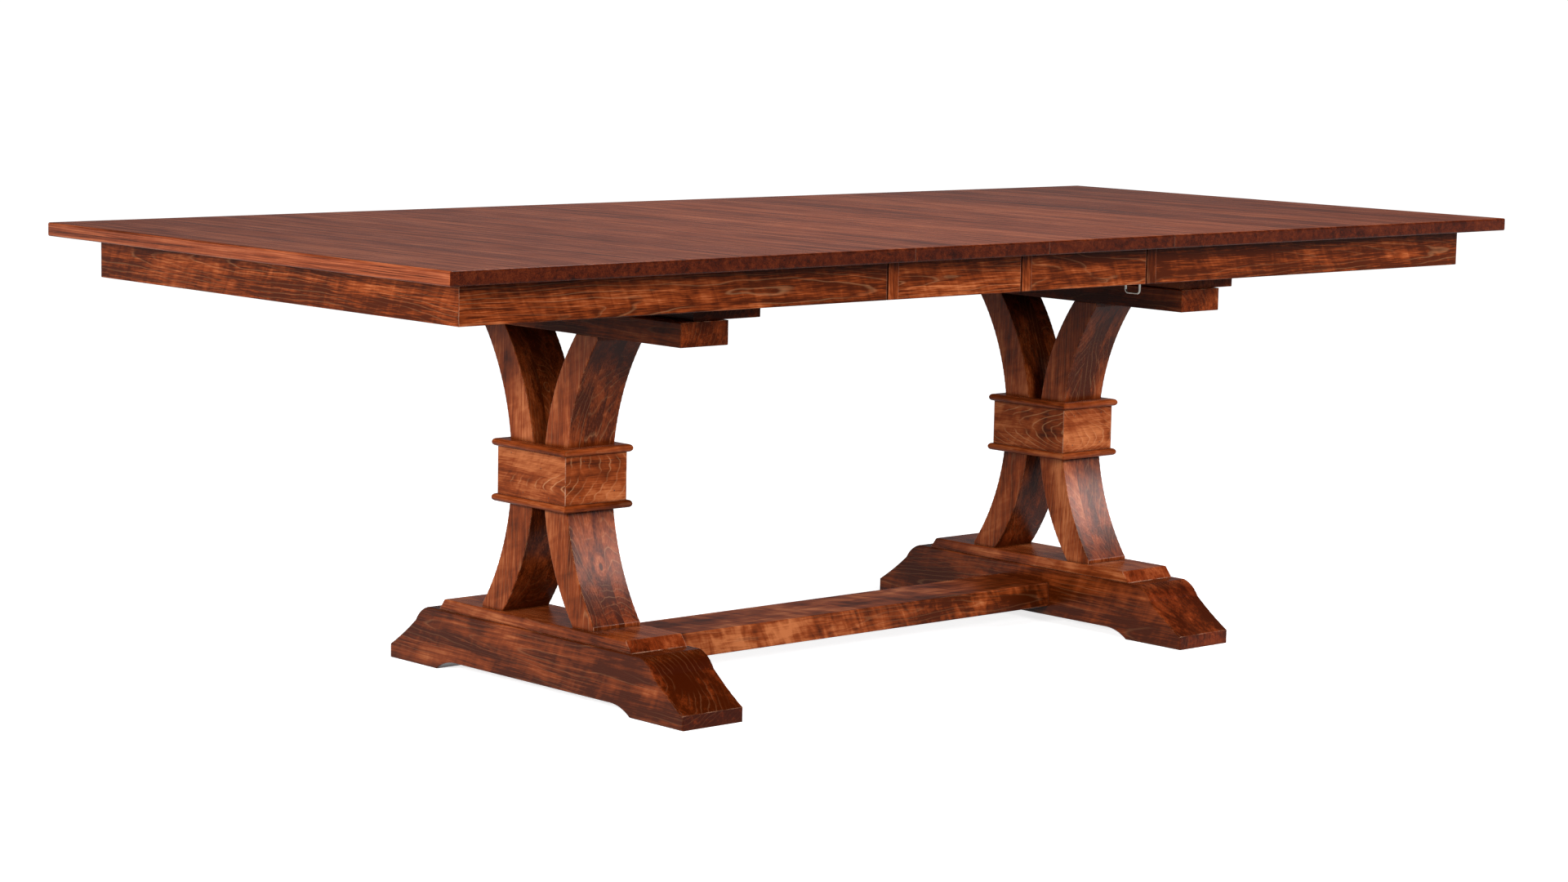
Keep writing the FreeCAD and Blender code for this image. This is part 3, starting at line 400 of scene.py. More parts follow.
# Stain colours, from where it lies deepest to where it lies thinnest
STAIN = {"Deep Stain": (0.060, 0.009, 0.001, 1), "Even Stain": (0.245, 0.045, 0.009, 1),
         "Thin Stain": (0.50, 0.15, 0.050, 1), "Line Stain": (0.72, 0.36, 0.17, 1)}
TOP_STAIN = {"Deep Stain": (0.050, 0.010, 0.003, 1), "Even Stain": (0.210, 0.040, 0.012, 1),
             "Thin Stain": (0.40, 0.11, 0.042, 1), "Line Stain": (0.46, 0.18, 0.08, 1)}
BARE = {"Deep Stain": (0.36, 0.21, 0.10, 1), "Even Stain": (0.58, 0.40, 0.23, 1),
        "Thin Stain": (0.72, 0.55, 0.36, 1), "Line Stain": (0.45, 0.28, 0.14, 1)}

# Pale arrises: a painted highlight along them, with the stain sanded through
RUBBED_AND_HIGHLIT = (0.68, 0.38, 0.25, 1)

# Which frame axis runs along the grain, across the board and into it
GRAIN_AXES = {"along_table": (0, 2, 1), "across_table": (1, 0, 2), "across_table_upright": (1, 2, 0),
              "upright": (2, 0, 1)}

# How dark the inside corners get, with settled glaze and painted shade, and how much smoother a rubbed arris
# is
GLAZE_AND_SHADE_SHARE = 0.75
ARRIS_POLISH = 0.06

# Relief of the fibres and of the steel's brush marks: its strength, and its height in metres
FIBRE_RELIEF = (0.25, 0.0004)
BRUSH_RELIEF = (0.15, 0.0001)

# Steel and putty, in waves per metre
HAZE_WAVES = (120.0, 120.0, 120.0)
BRUSH_WAVES = (900.0, 2600.0, 900.0)
GRIT_WAVES = (1800.0, 1800.0, 1800.0)


def reorder(tree, source, order):
    """Turn a frame vector so that the grain runs along its first part."""
    taken = split(tree, source)
    return combine(tree, *(taken[axis] for axis in order))


def empty_tree(owner):
    """The cleared node tree of a material or of the world."""
    owner.use_nodes = True
    owner.node_tree.nodes.clear()
    return owner.node_tree


def new_surface(name):
    """A material with nothing but its shader."""
    material = bpy.data.materials.new(name)
    tree = empty_tree(material)
    shader = put(tree, "ShaderNodeBsdfPrincipled")
    output = put(tree, "ShaderNodeOutputMaterial")
    tree.links.new(shader.outputs[0], output.inputs["Surface"])
    return material, tree, shader


def emboss(tree, shader, height, strength, distance, normal=None):
    """Give a shader the fine relief of a height, on a normal that may be softened."""
    relief = put(tree, "ShaderNodeBump")
    relief.inputs["Strength"].default_value = strength
    relief.inputs["Distance"].default_value = distance
    feed(tree, relief.inputs["Height"], height)
    if normal is not None:
        feed(tree, relief.inputs["Normal"], normal)
    feed(tree, shader.inputs["Normal"], relief.outputs[0])


def maple(name, seed, centre, axes, stain, gloss=0.15, rub=0.7, **grain):
    """One piece's own maple: its grain about its centre, its stain, its rubbed edges with a painted
    highlight, its inside corners darkened with glaze and painted shade, and its lacquer.
    """
    material, tree, shader = new_surface(name)
    where = put(tree, "ShaderNodeTexCoord").outputs
    local = reckon_vector(tree, "SUBTRACT", where["Object"], tuple(centre))
    wood = put(tree, "ShaderNodeGroup", node_tree=maple_grain)
    feed(tree, wood.inputs["Place"], reorder(tree, local, GRAIN_AXES[axes]))
    feed(tree, wood.inputs["Facing"], reorder(tree, where["Normal"], GRAIN_AXES[axes]))
    feed(tree, wood.inputs["Seed"], seed)
    for label, value in {**stain, **grain}.items():
        feed(tree, wood.inputs[label.replace("_", " ")], value)
    worn_and_highlit = put(tree, "ShaderNodeGroup", node_tree=rubbed_and_highlit_edges)
    feed(tree, worn_and_highlit.inputs["Place"], local)
    glaze_and_shade = put(tree, "ShaderNodeGroup", node_tree=glaze_and_painted_shade)
    # Arrises turn pale: a painted highlight, with some sanded-through stain
    colour = blend_colours(tree, times(tree, worn_and_highlit.outputs["Mask"], rub), wood.outputs["Color"], RUBBED_AND_HIGHLIT)
    # Inside corners and joints darken toward the deep stain: settled glaze and painted shade
    glaze_and_shade_share = times(tree, glaze_and_shade.outputs["Mask"], GLAZE_AND_SHADE_SHARE)
    feed(tree, shader.inputs["Base Color"], blend_colours(tree, glaze_and_shade_share, colour, stain["Deep Stain"]))
    polish = times(tree, worn_and_highlit.outputs["Mask"], ARRIS_POLISH)
    rough = reckon(tree, "SUBTRACT", wood.outputs["Roughness"], polish, clamp=True)
    feed(tree, shader.inputs["Roughness"], rough)
    emboss(tree, shader, wood.outputs["Height"], *FIBRE_RELIEF, worn_and_highlit.outputs["Soft Normal"])
    shader.inputs["Specular IOR Level"].default_value = gloss
    return material


def metal(name, colour, roughness, seed):
    """Plated or machined steel with faint clouding and fine brush marks."""
    material, tree, shader = new_surface(name)
    where = put(tree, "ShaderNodeTexCoord").outputs
    place = reckon_vector(tree, "ADD", where["Object"], (seed, seed, seed))
    haze = cloud(tree, place, HAZE_WAVES, 3.0, 0.6)["Fac"]
    marks = cloud(tree, place, BRUSH_WAVES, 2.0, 0.5)["Fac"]
    dull = tuple(value * 0.72 for value in colour) + (1,)
    bright = tuple(colour) + (1,)
    feed(tree, shader.inputs["Base Color"], blend_colours(tree, between(tree, haze, 0.3, 0.7), dull, bright))
    rough = reckon(tree, "ADD", roughness, about_middle(tree, haze, 0.25), clamp=True)
    feed(tree, shader.inputs["Roughness"], rough)
    emboss(tree, shader, marks, *BRUSH_RELIEF)
    shader.inputs["Metallic"].default_value = 1
    return material


def wood_putty():
    """Dark filler with a little grit."""
    material, tree, shader = new_surface("wood_putty")
    where = put(tree, "ShaderNodeTexCoord").outputs
    grit = cloud(tree, where["Object"], GRIT_WAVES, 2.0)["Fac"]
    colour = blend_colours(tree, grit, (0.020, 0.006, 0.003, 1), (0.075, 0.022, 0.010, 1))
    feed(tree, shader.inputs["Base Color"], colour)
    feed(tree, shader.inputs["Roughness"], plus(tree, 0.4, times(tree, grit, 0.3)))
    return material


# How each kind of piece is sawn. Widths, depths and spreads are metres, the rest are shares
TOP_BOARDS = dict(axes="across_table", gloss=0.11, rub=0.15, Board_Width=0.098, Pith_Spread=0.16,
                  Pith_Depth=0.06, Ring_Width=0.0075, Ring_Slope=0.02, Ring_Tone=0.30, Ring_Lines=0.08,
                  Fibres=1.3, Streaks=0.75, Blotches=0.26, Curl=0.08, Board_Tone=0.22, Grain_Length=3.5,
                  Tone=0.52, End_Stain=(0.27, 0.17, 0.10, 1), Gloss_Roughness=0.28)
SIDE_APRON = dict(axes="along_table", gloss=0.07, rub=0.3, Pith_Spread=0.05, Pith_Depth=0.035,
                  Ring_Width=0.007, Ring_Slope=0.04, Ring_Tone=0.34, Ring_Lines=0.17, Fibres=1.0,
                  Streaks=0.60, Blotches=0.55, Curl=0.34, Tone=0.25, Gloss_Roughness=0.34)
END_APRON = dict(SIDE_APRON, axes="across_table_upright", Tone=0.30)
END_BLOCK = dict(SIDE_APRON, axes="upright", Ring_Lines=0.1, Blotches=0.4)
FOOT = dict(axes="across_table_upright", rub=0.9, Pith_Spread=0.08, Pith_Depth=0.09, Ring_Width=0.008,
            Ring_Slope=0.04, Ring_Tone=0.34, Ring_Lines=0.12, Fibres=0.5, Streaks=0.46, Blotches=0.85,
            Curl=0.22, Tone=0.22, Grain_Length=2.0, End_Stain=(0.68, 0.52, 0.46, 1), Gloss_Roughness=0.26)
PLINTH = dict(FOOT, Tone=0.44)
BEAM = dict(FOOT, gloss=0.06, Tone=0.28, End_Stain=(1, 0.9, 0.85, 1))
LEG = dict(axes="upright", gloss=0.12, rub=0.95, Board_Width=0.033, Pith_Spread=0.10, Pith_Depth=0.06,
           Ring_Width=0.007, Ring_Slope=0.05, Ring_Tone=0.28, Ring_Lines=0.18, Fibres=0.5, Streaks=0.42,
           Blotches=0.80, Curl=0.22, Board_Tone=0.25, Tone=0.49, Flat_Face_Tone=-0.26, Gloss_Roughness=0.26)
COLLAR_SIDE = dict(axes="across_table_upright", gloss=0.10, Pith_Spread=0.02, Pith_Depth=0.03,
                   Ring_Width=0.006, Ring_Slope=0.30, Ring_Tone=0.25, Ring_Lines=0.55, Fibres=0.5,
                   Streaks=0.35, Blotches=0.95, Curl=0.30, Tone=0.76, Gloss_Roughness=0.34)
COLLAR_END = dict(COLLAR_SIDE, axes="along_table", Pith_Depth=0.06, Ring_Lines=0.32)
BEAD = dict(gloss=0.10, Pith_Spread=0.05, Pith_Depth=0.08, Ring_Width=0.006, Ring_Lines=0.1, Streaks=0.4,
            Blotches=0.5, Curl=0.15, Tone=0.42, End_Stain=(1, 1, 1, 1), Gloss_Roughness=0.26)
STRETCHER = dict(axes="along_table", gloss=0.12, Pith_Spread=0.04, Pith_Depth=0.10, Ring_Width=0.007,
                 Ring_Tone=0.25, Ring_Lines=0.12, Streaks=0.35, Blotches=0.95, Curl=0.60, Tone=0.58,
                 Gloss_Roughness=0.33)
SLIDE = dict(axes="along_table", gloss=0.1, rub=0.1, Ring_Tone=0.25, Ring_Lines=0.25, Streaks=0.4,
             Blotches=0.25, Curl=0.1, Gloss_Roughness=0.5)
INNER = dict(axes="across_table_upright", gloss=0.1, rub=0.1, Ring_Tone=0.25, Streaks=0.4, Blotches=0.25,
             Curl=0.1, Gloss_Roughness=0.55)

# Boards that differ from their kind: their own tone, and where a knot shows. The right collar's side panels
# are darker as painted shade, for the light that the right pedestal's left faces lack
OWN_TONES_AND_SHADE = {"right_collar_side_panels": 0.48, "right_collar_end_panels": 0.47, "right_apron_front": 0.07,
             "leaf_a_apron_front": 0.32, "leaf_b_apron_front": 0.22, "right_foot": 0.14}
KNOTS = {"left_leg_front": (-0.145, 0.004, -0.05)}

# Each piece's own place in the grain pattern. The sticks of the beads have theirs apart
FIRST_SEED = 2.0
SEED_STEP = 1.37
BEAD_STICKS = (("side", 90.3, "across_table_upright"), ("end", 97.1, "along_table"))


def sawn_pieces():
    """Every wooden node with its stain and the way that it is sawn."""
    pieces = [(name, TOP_STAIN, TOP_BOARDS) for name in ("left_top", "leaf_a_top", "leaf_b_top", "right_top")]
    for part in ("left", "right", "leaf_a", "leaf_b"):
        pieces += [(f"{part}_apron_front", STAIN, SIDE_APRON), (f"{part}_apron_rear", STAIN, SIDE_APRON)]
    pieces += [(f"{part}_end_blocks", STAIN, END_BLOCK) for part in ("right", "leaf_a", "leaf_b")]
    plain_bead = dict(BEAD, axes="across_table_upright")
    for part in ("left", "right"):
        pieces += [(f"{part}_apron_end", STAIN, END_APRON), (f"{part}_foot", STAIN, FOOT),
                   (f"{part}_plinth", STAIN, PLINTH), (f"{part}_beam", STAIN, BEAM),
                   (f"{part}_mounting_board", STAIN, BEAM),
                   (f"{part}_leg_front", STAIN, LEG), (f"{part}_leg_rear", STAIN, LEG),
                   (f"{part}_collar_side_panels", STAIN, COLLAR_SIDE),
                   (f"{part}_collar_end_panels", STAIN, COLLAR_END),
                   (f"{part}_collar_upper_bead", STAIN, plain_bead),
                   (f"{part}_collar_lower_bead", STAIN, plain_bead),
                   (f"{part}_collar_core", BARE, dict(INNER, axes="upright")),
                   (f"{part}_corner_blocks", BARE, INNER),
                   (f"{part}_runner_front", BARE, SLIDE), (f"{part}_runner_rear", BARE, SLIDE),
                   (f"{part}_racks", BARE, SLIDE)]
    pieces += [("stretcher", STAIN, STRETCHER), ("front_fixed_rail", BARE, SLIDE),
               ("rear_fixed_rail", BARE, SLIDE)]
    return pieces


def dress(node, material):
    """Give a CAD piece its finish in every slot that it has."""
    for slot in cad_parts[node].material_slots:
        slot.material = material


def finish_wood():
    """Each wooden piece gets a maple of its own, so no two show the same grain."""
    for number, (node, stain, way) in enumerate(sawn_pieces()):
        low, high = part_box(node)
        if node in OWN_TONES_AND_SHADE:
            way = dict(way, Tone=OWN_TONES_AND_SHADE[node])
        if node in KNOTS:
            way = dict(way, Knot_Place=KNOTS[node])
        seed = number * SEED_STEP + FIRST_SEED
        dress(node, maple(f"{node}_maple", seed, (low + high) / 2, stain=stain, **way))


def finish_metal(zinc, machined, wire):
    """Plated fittings, bare pinions and bright wire."""
    for node in ("bail_brackets", "leaf_b_catches", "left_runner_screws", "right_runner_screws",
                 "mounting_bolts"):
        dress(node, zinc)
    for node in ("front_pinion", "rear_pinion"):
        dress(node, machined)
    for node in ("front_bail", "rear_bail"):
        dress(node, wire)


# Pieces that are finer than their plain solids. Sizes are metres where the comment names no share

BEAD_NOSE = 0.0062                  # radius of the collar bead's half-round nose
BEAD_CORNER = 0.0035                # how far its mitred corners are sanded round
COLLAR_HOLE = (0.0497, 0.07617)     # half the opening inside a bead, along and across the table
NOSE_STEPS = 12
CORNER_STEPS = 6
SAME_PLACE = 1e-6                   # vertices closer than this are one

SCREW_HEAD = (0.005, 0.004)         # radius and height
SCREW_SHANK = (0.0025, 0.0475)      # radius and length
SCREW_CROWN = 0.6                   # the flat crown's share of the head's radius
SCREW_DOME = 0.75                   # the dome's share of the head's height
DOME_STEPS = 6
THREAD_PITCH = 0.9                  # share of the shank's radius, as the root is
THREAD_ROOT = 0.82
THREAD_TURN = (0.25, 0.6, 0.95)     # where a turn is at its root, its crest and its root again
SCREW_POINT = (0.7, 0.001)          # the blunt point's share of the shank's radius, and its length
CROSS_ARM = 0.85                    # shares of the crown, of the head's radius and of its height
CROSS_WIDTH = 0.2
CROSS_DEPTH = 0.55
CROSS_END = (0.4, 0.8)              # how far the recess draws in by its end: its arms and its web

# Lag bolts, with outlines of (radius, height): the point from its tip, the rest from under the washer
BOLT_INSET = 0.0075                 # from the edge of the bolts' box to a bolt's axis
BOLT_HEAD = 0.005                   # washer and hexagon together
BOLT_TURN = 0.4                     # radians, as the spanner left the hexagon
BOLT_SHANK = 0.004
BOLT_POINT = [(0, 0), (0.003, 0.002), (BOLT_SHANK, 0.006)]
BOLT_WASHER = [(0.0045, 0), (0.0092, 0), (0.0096, 0.0004), (0.0094, 0.0012), (0.0045, 0.0012)]
BOLT_HEXAGON = [(0, 0.0012), (0.0072, 0.0012), (0.0074, 0.0016), (0.0074, 0.0043), (0.0066, 0.005),
                (0, 0.005)]

WIRE_BEND = 0.006                   # radius of the bail's bends, at the middle of the wire
BEND_STEPS = 8
WIRE_SIDES = 16

# Screws of the lock plates: node, body and where they sit along the table from the plate's middle
LOCK_SCREWS = (("bail_brackets", "right_half", (-0.0125, 0.0125)),
               ("leaf_b_catches", "leaf_b", (0.004, 0.013)))
LOCK_PLATE = 0.002                  # the plate's thickness
LOCK_INSET = 0.009                  # from the plates' front or rear edge to a row of screws
LOCK_SCREW_PROUD = 0.0006           # how far a screw starts below its plate
LOCK_SCREW_OUTLINE = [(0, 0), (0.0006, 0), (0.0008, 0.0003), (0.0022, 0.00005), (0.0031, 0.0005),
                      (0.0032, 0.0008), (0, 0.0009)]

# Filled nail holes of the collars: shares across the face and up it
NAIL_FILLS = {
    "left": {"side": ((0.36, 0.68), (0.62, 0.12), (0.24, 0.10), (0.80, 0.90)),
             "end": ((0.24, 0.14), (0.80, 0.22), (0.30, 0.88), (0.76, 0.86))},
    "right": {"side": ((0.22, 0.86), (0.78, 0.14), (0.24, 0.16), (0.78, 0.84)),
              "end": ((0.20, 0.16), (0.76, 0.18), (0.22, 0.84), (0.78, 0.86))},
}
FILL_HALF_WIDTH = 0.0011            # a fill is a small oval, a little crowned
FILL_HALF_HEIGHT = 0.0014
FILL_CROWN = 0.00015
FILL_STEPS = 12


def to_mesh(name, bm):
    """Close the building of a mesh, with all its faces outward."""
    bmesh.ops.recalc_face_normals(bm, faces=bm.faces)
    mesh = bpy.data.meshes.new(name)
    bm.to_mesh(mesh)
    bm.free()
    return mesh


def to_object(name, bm, body, materials, crease=35):
    """Turn built mesh into a piece with soft shading that rides on a body."""
    mesh = to_mesh(name, bm)
    for face in mesh.polygons:
        face.use_smooth = True
    mesh.set_sharp_from_angle(angle=math.radians(crease))
    for material in materials:
        mesh.materials.append(material)
    piece = bpy.data.objects.new(name, mesh)
    bpy.context.scene.collection.objects.link(piece)
    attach(piece, body)
    return piece


def rounded_oblong(half_wide, half_high, round_off, steps):
    """Points round an oblong about its middle, with so many steps round each corner."""
    points = []
    for corner, (side, level) in enumerate(((1, 1), (-1, 1), (-1, -1), (1, -1))):
        for step in range(steps + 1):
            angle = math.pi / 2 * (corner + step / steps)
            points.append((side * (half_wide - round_off) + math.cos(angle) * round_off,
                           level * (half_high - round_off) + math.sin(angle) * round_off))
    return points


def join_loops(bm, loops):
    """Walls between closed loops, and from the last loop to the first. Walls without width are left out."""
    faces = []
    for first, second in zip(loops, loops[1:] + loops[:1]):
        for index in range(len(first)):
            follower = (index + 1) % len(first)
            first_width = (first[index].co - first[follower].co).length
            second_width = (second[index].co - second[follower].co).length
            if max(first_width, second_width) > SAME_PLACE:
                corners = (first[index], first[follower], second[follower], second[index])
                faces.append(bm.faces.new(corners))
    return faces


def bead_profile(depth, height):
    """The bead's section from its inner top edge round the nose to its inner bottom edge."""
    nose = depth - BEAD_NOSE
    points = [(0.0, height), (nose, height)]
    for step in range(1, NOSE_STEPS):
        angle = math.pi / 2 - math.pi * step / NOSE_STEPS
        points.append((nose + BEAD_NOSE * math.cos(angle), height / 2 + height / 2 * math.sin(angle)))
    return points + [(nose, 0.0), (0.0, 0.0)]


def bead_ring(node, side_wood, end_wood):
    """A moulding mitred round the collar, with its corners sanded slightly round."""
    low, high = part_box(node)
    middle = (low + high) / 2
    hole_x, hole_y = COLLAR_HOLE
    depth_x = (high.x - low.x) / 2 - hole_x
    depth_y = (high.y - low.y) / 2 - hole_y
    bm = bmesh.new()
    loops = []
    for out, up in bead_profile(depth_x, high.z - low.z):
        share = out / depth_x
        outline = rounded_oblong(hole_x + out, hole_y + depth_y * share, BEAD_CORNER * share, CORNER_STEPS)
        loops.append([bm.verts.new((middle.x + x, middle.y + y, low.z + up)) for x, y in outline])
    for face in join_loops(bm, loops):
        centre = face.calc_center_median() - middle
        on_side = (abs(centre.x) - hole_x) / depth_x > (abs(centre.y) - hole_y) / depth_y
        face.material_index = 0 if on_side else 1
    bmesh.ops.remove_doubles(bm, verts=bm.verts, dist=SAME_PLACE)
    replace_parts(to_object(f"{node}_moulding", bm, "base", [side_wood, end_wood]), node)


def add_beads():
    """Mouldings in place of the collars' plain beads, with the grain along each stick."""
    nodes = [f"{part}_collar_{level}_bead" for part in ("left", "right") for level in ("upper", "lower")]
    for number, node in enumerate(nodes):
        low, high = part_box(node)
        centre = (low + high) / 2
        woods = [maple(f"{node}_{side}_maple", seed + number, centre, axes, STAIN, **BEAD)
                 for side, seed, axes in BEAD_STICKS]
        bead_ring(node, *woods)


def lathe(bm, centre, outline, sides=24, turn=0.0):
    """Turn an outline of (radius, height) points about an upright axis. Ends at radius 0 close."""
    x, y, z = centre
    rings = []
    for radius, height in outline:
        angles = [turn + 2 * math.pi * side / sides for side in range(sides if radius else 1)]
        rings.append([bm.verts.new((x + radius * math.cos(angle), y + radius * math.sin(angle), z + height))
                      for angle in angles])
    for lower, upper in zip(rings, rings[1:]):
        for side in range(sides):
            follower = (side + 1) % sides
            corners = (lower[side % len(lower)], lower[follower % len(lower)],
                       upper[follower % len(upper)], upper[side % len(upper)])
            bm.faces.new(list(dict.fromkeys(corners)))
    return rings


def cross_recess(bm, rim, arm, thickness, depth):
    """A driver's cross, sunk into the flat crown inside a rim of vertices."""
    web = thickness / 2
    cross = [(arm, -web), (arm, web), (web, web), (web, arm), (-web, arm), (-web, web),
             (-arm, web), (-arm, -web), (-web, -web), (-web, -arm), (web, -arm), (web, -web)]
    height = rim[0].co.z

    def drawn_in(value):
        return value * (CROSS_END[0] if abs(value) == arm else CROSS_END[1])

    mouth = [bm.verts.new((x, y, height)) for x, y in cross]
    end = [bm.verts.new((drawn_in(x), drawn_in(y), height + depth)) for x, y in cross]
    border = []
    for ring in (rim, mouth):
        for corner, follower in zip(ring, ring[1:] + ring[:1]):
            border.append(bm.edges.get((corner, follower)) or bm.edges.new((corner, follower)))
    bmesh.ops.triangle_fill(bm, use_beauty=True, use_dissolve=False, edges=border)
    for index in range(len(cross)):
        follower = (index + 1) % len(cross)
        bm.faces.new((mouth[index], mouth[follower], end[follower], end[index]))
    bm.faces.new(end)


def cross_head_screw(head_radius, head_height, shank_radius, shank_length):
    """A pan-headed screw, head down at the origin, with a cross recess and a threaded shank."""
    crown = head_radius * SCREW_CROWN
    outline = []
    for step in range(DOME_STEPS + 1):
        share = step / DOME_STEPS
        rise = 1 - math.sqrt(1 - share * share)
        outline.append((crown + (head_radius - crown) * share, head_height * SCREW_DOME * rise))
    outline += [(head_radius, head_height), (shank_radius, head_height)]
    pitch = shank_radius * THREAD_PITCH
    root = shank_radius * THREAD_ROOT
    point_share, point_length = SCREW_POINT
    for turn in range(int((shank_length - 2 * point_length) / pitch)):
        heights = [head_height + (turn + share) * pitch for share in THREAD_TURN]
        outline += list(zip((root, shank_radius, root), heights))
    tip = head_height + shank_length
    outline += [(shank_radius * point_share, tip - point_length), (0, tip)]
    bm = bmesh.new()
    rings = lathe(bm, (0, 0, 0), outline)
    cross_recess(bm, rings[0], crown * CROSS_ARM, head_radius * CROSS_WIDTH, head_height * CROSS_DEPTH)
    return to_mesh("cross_head_screw", bm)


def repeat_at(name, mesh, places, body, material):
    """Copies of one small fitting at several places, as one piece."""
    bm = bmesh.new()
    for place in places:
        start = len(bm.verts)
        bm.from_mesh(mesh)
        bm.verts.ensure_lookup_table()
        bmesh.ops.translate(bm, verts=bm.verts[start:], vec=Vector(place))
    return to_object(name, bm, body, [material])


def screw_places(part):
    """The six screws of one half: three along each of its two runners."""
    low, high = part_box(f"{part}_runner_screws")
    inset = SCREW_HEAD[0]
    side = -1 if part == "left" else 1
    inner = min(abs(low.x), abs(high.x)) + inset
    outer = max(abs(low.x), abs(high.x)) - inset
    rows = (low.y + inset, high.y - inset)
    return [(side * (inner + (outer - inner) * share), y, low.z) for y in rows for share in (0, 0.5, 1)]


def add_fasteners(zinc):
    """Threaded screws for the runners, and hex-headed lag bolts for the mounting boards."""
    screw = cross_head_screw(*SCREW_HEAD, *SCREW_SHANK)
    for part in ("left", "right"):
        places = screw_places(part)
        screws = repeat_at(f"{part}_cross_head_screws", screw, places, f"{part}_half", zinc)
        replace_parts(screws, f"{part}_runner_screws")
    low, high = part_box("mounting_bolts")
    head_bottom = high.z - BOLT_HEAD
    shank = BOLT_POINT + [(BOLT_SHANK, head_bottom - low.z)]
    bm = bmesh.new()
    for x in (low.x + BOLT_INSET, high.x - BOLT_INSET):
        for y in (low.y + BOLT_INSET, high.y - BOLT_INSET):
            lathe(bm, (x, y, low.z), shank)
            lathe(bm, (x, y, head_bottom), BOLT_WASHER, sides=32)
            lathe(bm, (x, y, head_bottom), BOLT_HEXAGON, sides=6, turn=BOLT_TURN)
    bolts = to_object("hex_lag_bolts", bm, "base", [zinc], crease=25)
    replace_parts(bolts, "mounting_bolts")


def wire_bail(node, body, wire):
    """A bent wire loop. Its joint is inside the bracket's sleeve."""
    low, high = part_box(node)
    middle = (low + high) / 2
    radius = (high.x - low.x) / 2
    half_wide = (high.y - low.y) / 2 - radius
    half_high = (high.z - low.z) / 2 - radius
    bends = rounded_oblong(half_wide, half_high, WIRE_BEND, BEND_STEPS)
    path = [middle + Vector((0, y, z)) for y, z in bends]
    aside = Vector((radius, 0, 0))
    bm = bmesh.new()
    rings = []
    for index, point in enumerate(path):
        ahead = (path[(index + 1) % len(path)] - path[index - 1]).normalized()
        outward = ahead.cross(aside)
        angles = [2 * math.pi * side / WIRE_SIDES for side in range(WIRE_SIDES)]
        rings.append([bm.verts.new(point + aside * math.cos(angle) + outward * math.sin(angle))
                      for angle in angles])
    join_loops(bm, rings)
    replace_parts(to_object(f"{node}_loop", bm, body, [wire], crease=60), node)


def add_lock_screws(zinc):
    """Small countersunk screws that hold the bail brackets and the leaf's catches."""
    for node, body, offsets in LOCK_SCREWS:
        low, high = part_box(node)
        middle_x = (low.x + high.x) / 2
        bottom = high.z - LOCK_PLATE - LOCK_SCREW_PROUD
        bm = bmesh.new()
        for y in (low.y + LOCK_INSET, high.y - LOCK_INSET):
            for offset in offsets:
                lathe(bm, (middle_x + offset, y, bottom), LOCK_SCREW_OUTLINE)
        to_object(f"{node}_screws", bm, body, [zinc], crease=50)


def nail_fill(bm, centre, sideways, outward):
    """One flush dot of putty with a slight crown."""
    rim = []
    for step in range(FILL_STEPS):
        angle = 2 * math.pi * step / FILL_STEPS
        rise = Vector((0, 0, math.sin(angle) * FILL_HALF_HEIGHT))
        rim.append(bm.verts.new(centre + sideways * math.cos(angle) * FILL_HALF_WIDTH + rise))
    crown = bm.verts.new(centre + outward * FILL_CROWN)
    for first, second in zip(rim, rim[1:] + rim[:1]):
        bm.faces.new((first, second, crown))


def add_nail_fills(putty):
    """Dots of dark putty over the nails, on all four faces of each collar."""
    along_table = Vector((1, 0, 0))
    across_table = Vector((0, 1, 0))
    for part, faces in NAIL_FILLS.items():
        low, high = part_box(f"{part}_collar_side_panels")
        bm = bmesh.new()
        for face, holes in faces.items():
            outward, sideways = (along_table, across_table) if face == "side" else (across_table, along_table)
            for across, up in holes:
                for flip in (-1, 1):
                    share = Vector((0, 0, up)) + sideways * across + outward * (flip + 1) / 2
                    nail_fill(bm, low + share * (high - low), sideways, outward * flip)
        to_object(f"{part}_collar_nail_fills", bm, "base", [putty], crease=60)


# The studio. Lamps: name, place, what it faces, width, height, watts, and whether the lacquer shows it

LAMPS = (
    ("left_soft_box", (-3.8, -1.0, 1.3), (-0.6, 0, 0.4), 1.2, 0.8, 125, False),
    ("front_soft_box", (-0.9, -3.9, 1.75), (0, 0, 0.45), 1.6, 1.0, 88, False),
    ("right_soft_box", (2.6, -2.5, 1.6), (0, 0, 0.4), 1.5, 1.2, 112, False),
    ("top_soft_box", (0.1, -0.1, 2.3), (0.1, -0.1, 0), 0.8, 0.7, 20, True),
    ("rear_soft_box", (-1.5, 3.7, 1.6), (0, 0, 0.4), 1.6, 1.0, 65, False),
)
LEG_SHEEN_LAMP = ("leg_sheen_box", (2.6, -2.5, 1.55), (0, 0, 0.35), 1.6, 1.4, 115, True)

# The air round the table: near the floor, high up, and the pale patch behind it
LOW_AIR = (0.035, 0.035, 0.038, 1)
HIGH_AIR = (0.10, 0.10, 0.105, 1)
PALE_AIR = (0.19, 0.19, 0.20, 1)
WAY_TO_PALE_AIR = (0.656, 0.755, 0.06)
AIR_TOP = 0.9
PALE_AIR_EDGE = 0.955

# The floor: its paint to the eye, the light it throws back, and how it glows near the table and far off
FLOOR_REACH = 400
FLOOR_PAINT = (0.80, 0.80, 0.80, 1)
FLOOR_RETURN = (0.12, 0.12, 0.12, 1)
FLOOR_GLOW = (1, 1, 1, 1)
GLOW_NEAR = 0.78
GLOW_GAIN = 0.22
GLOW_FROM = 1.6
GLOW_FULL = 5.0


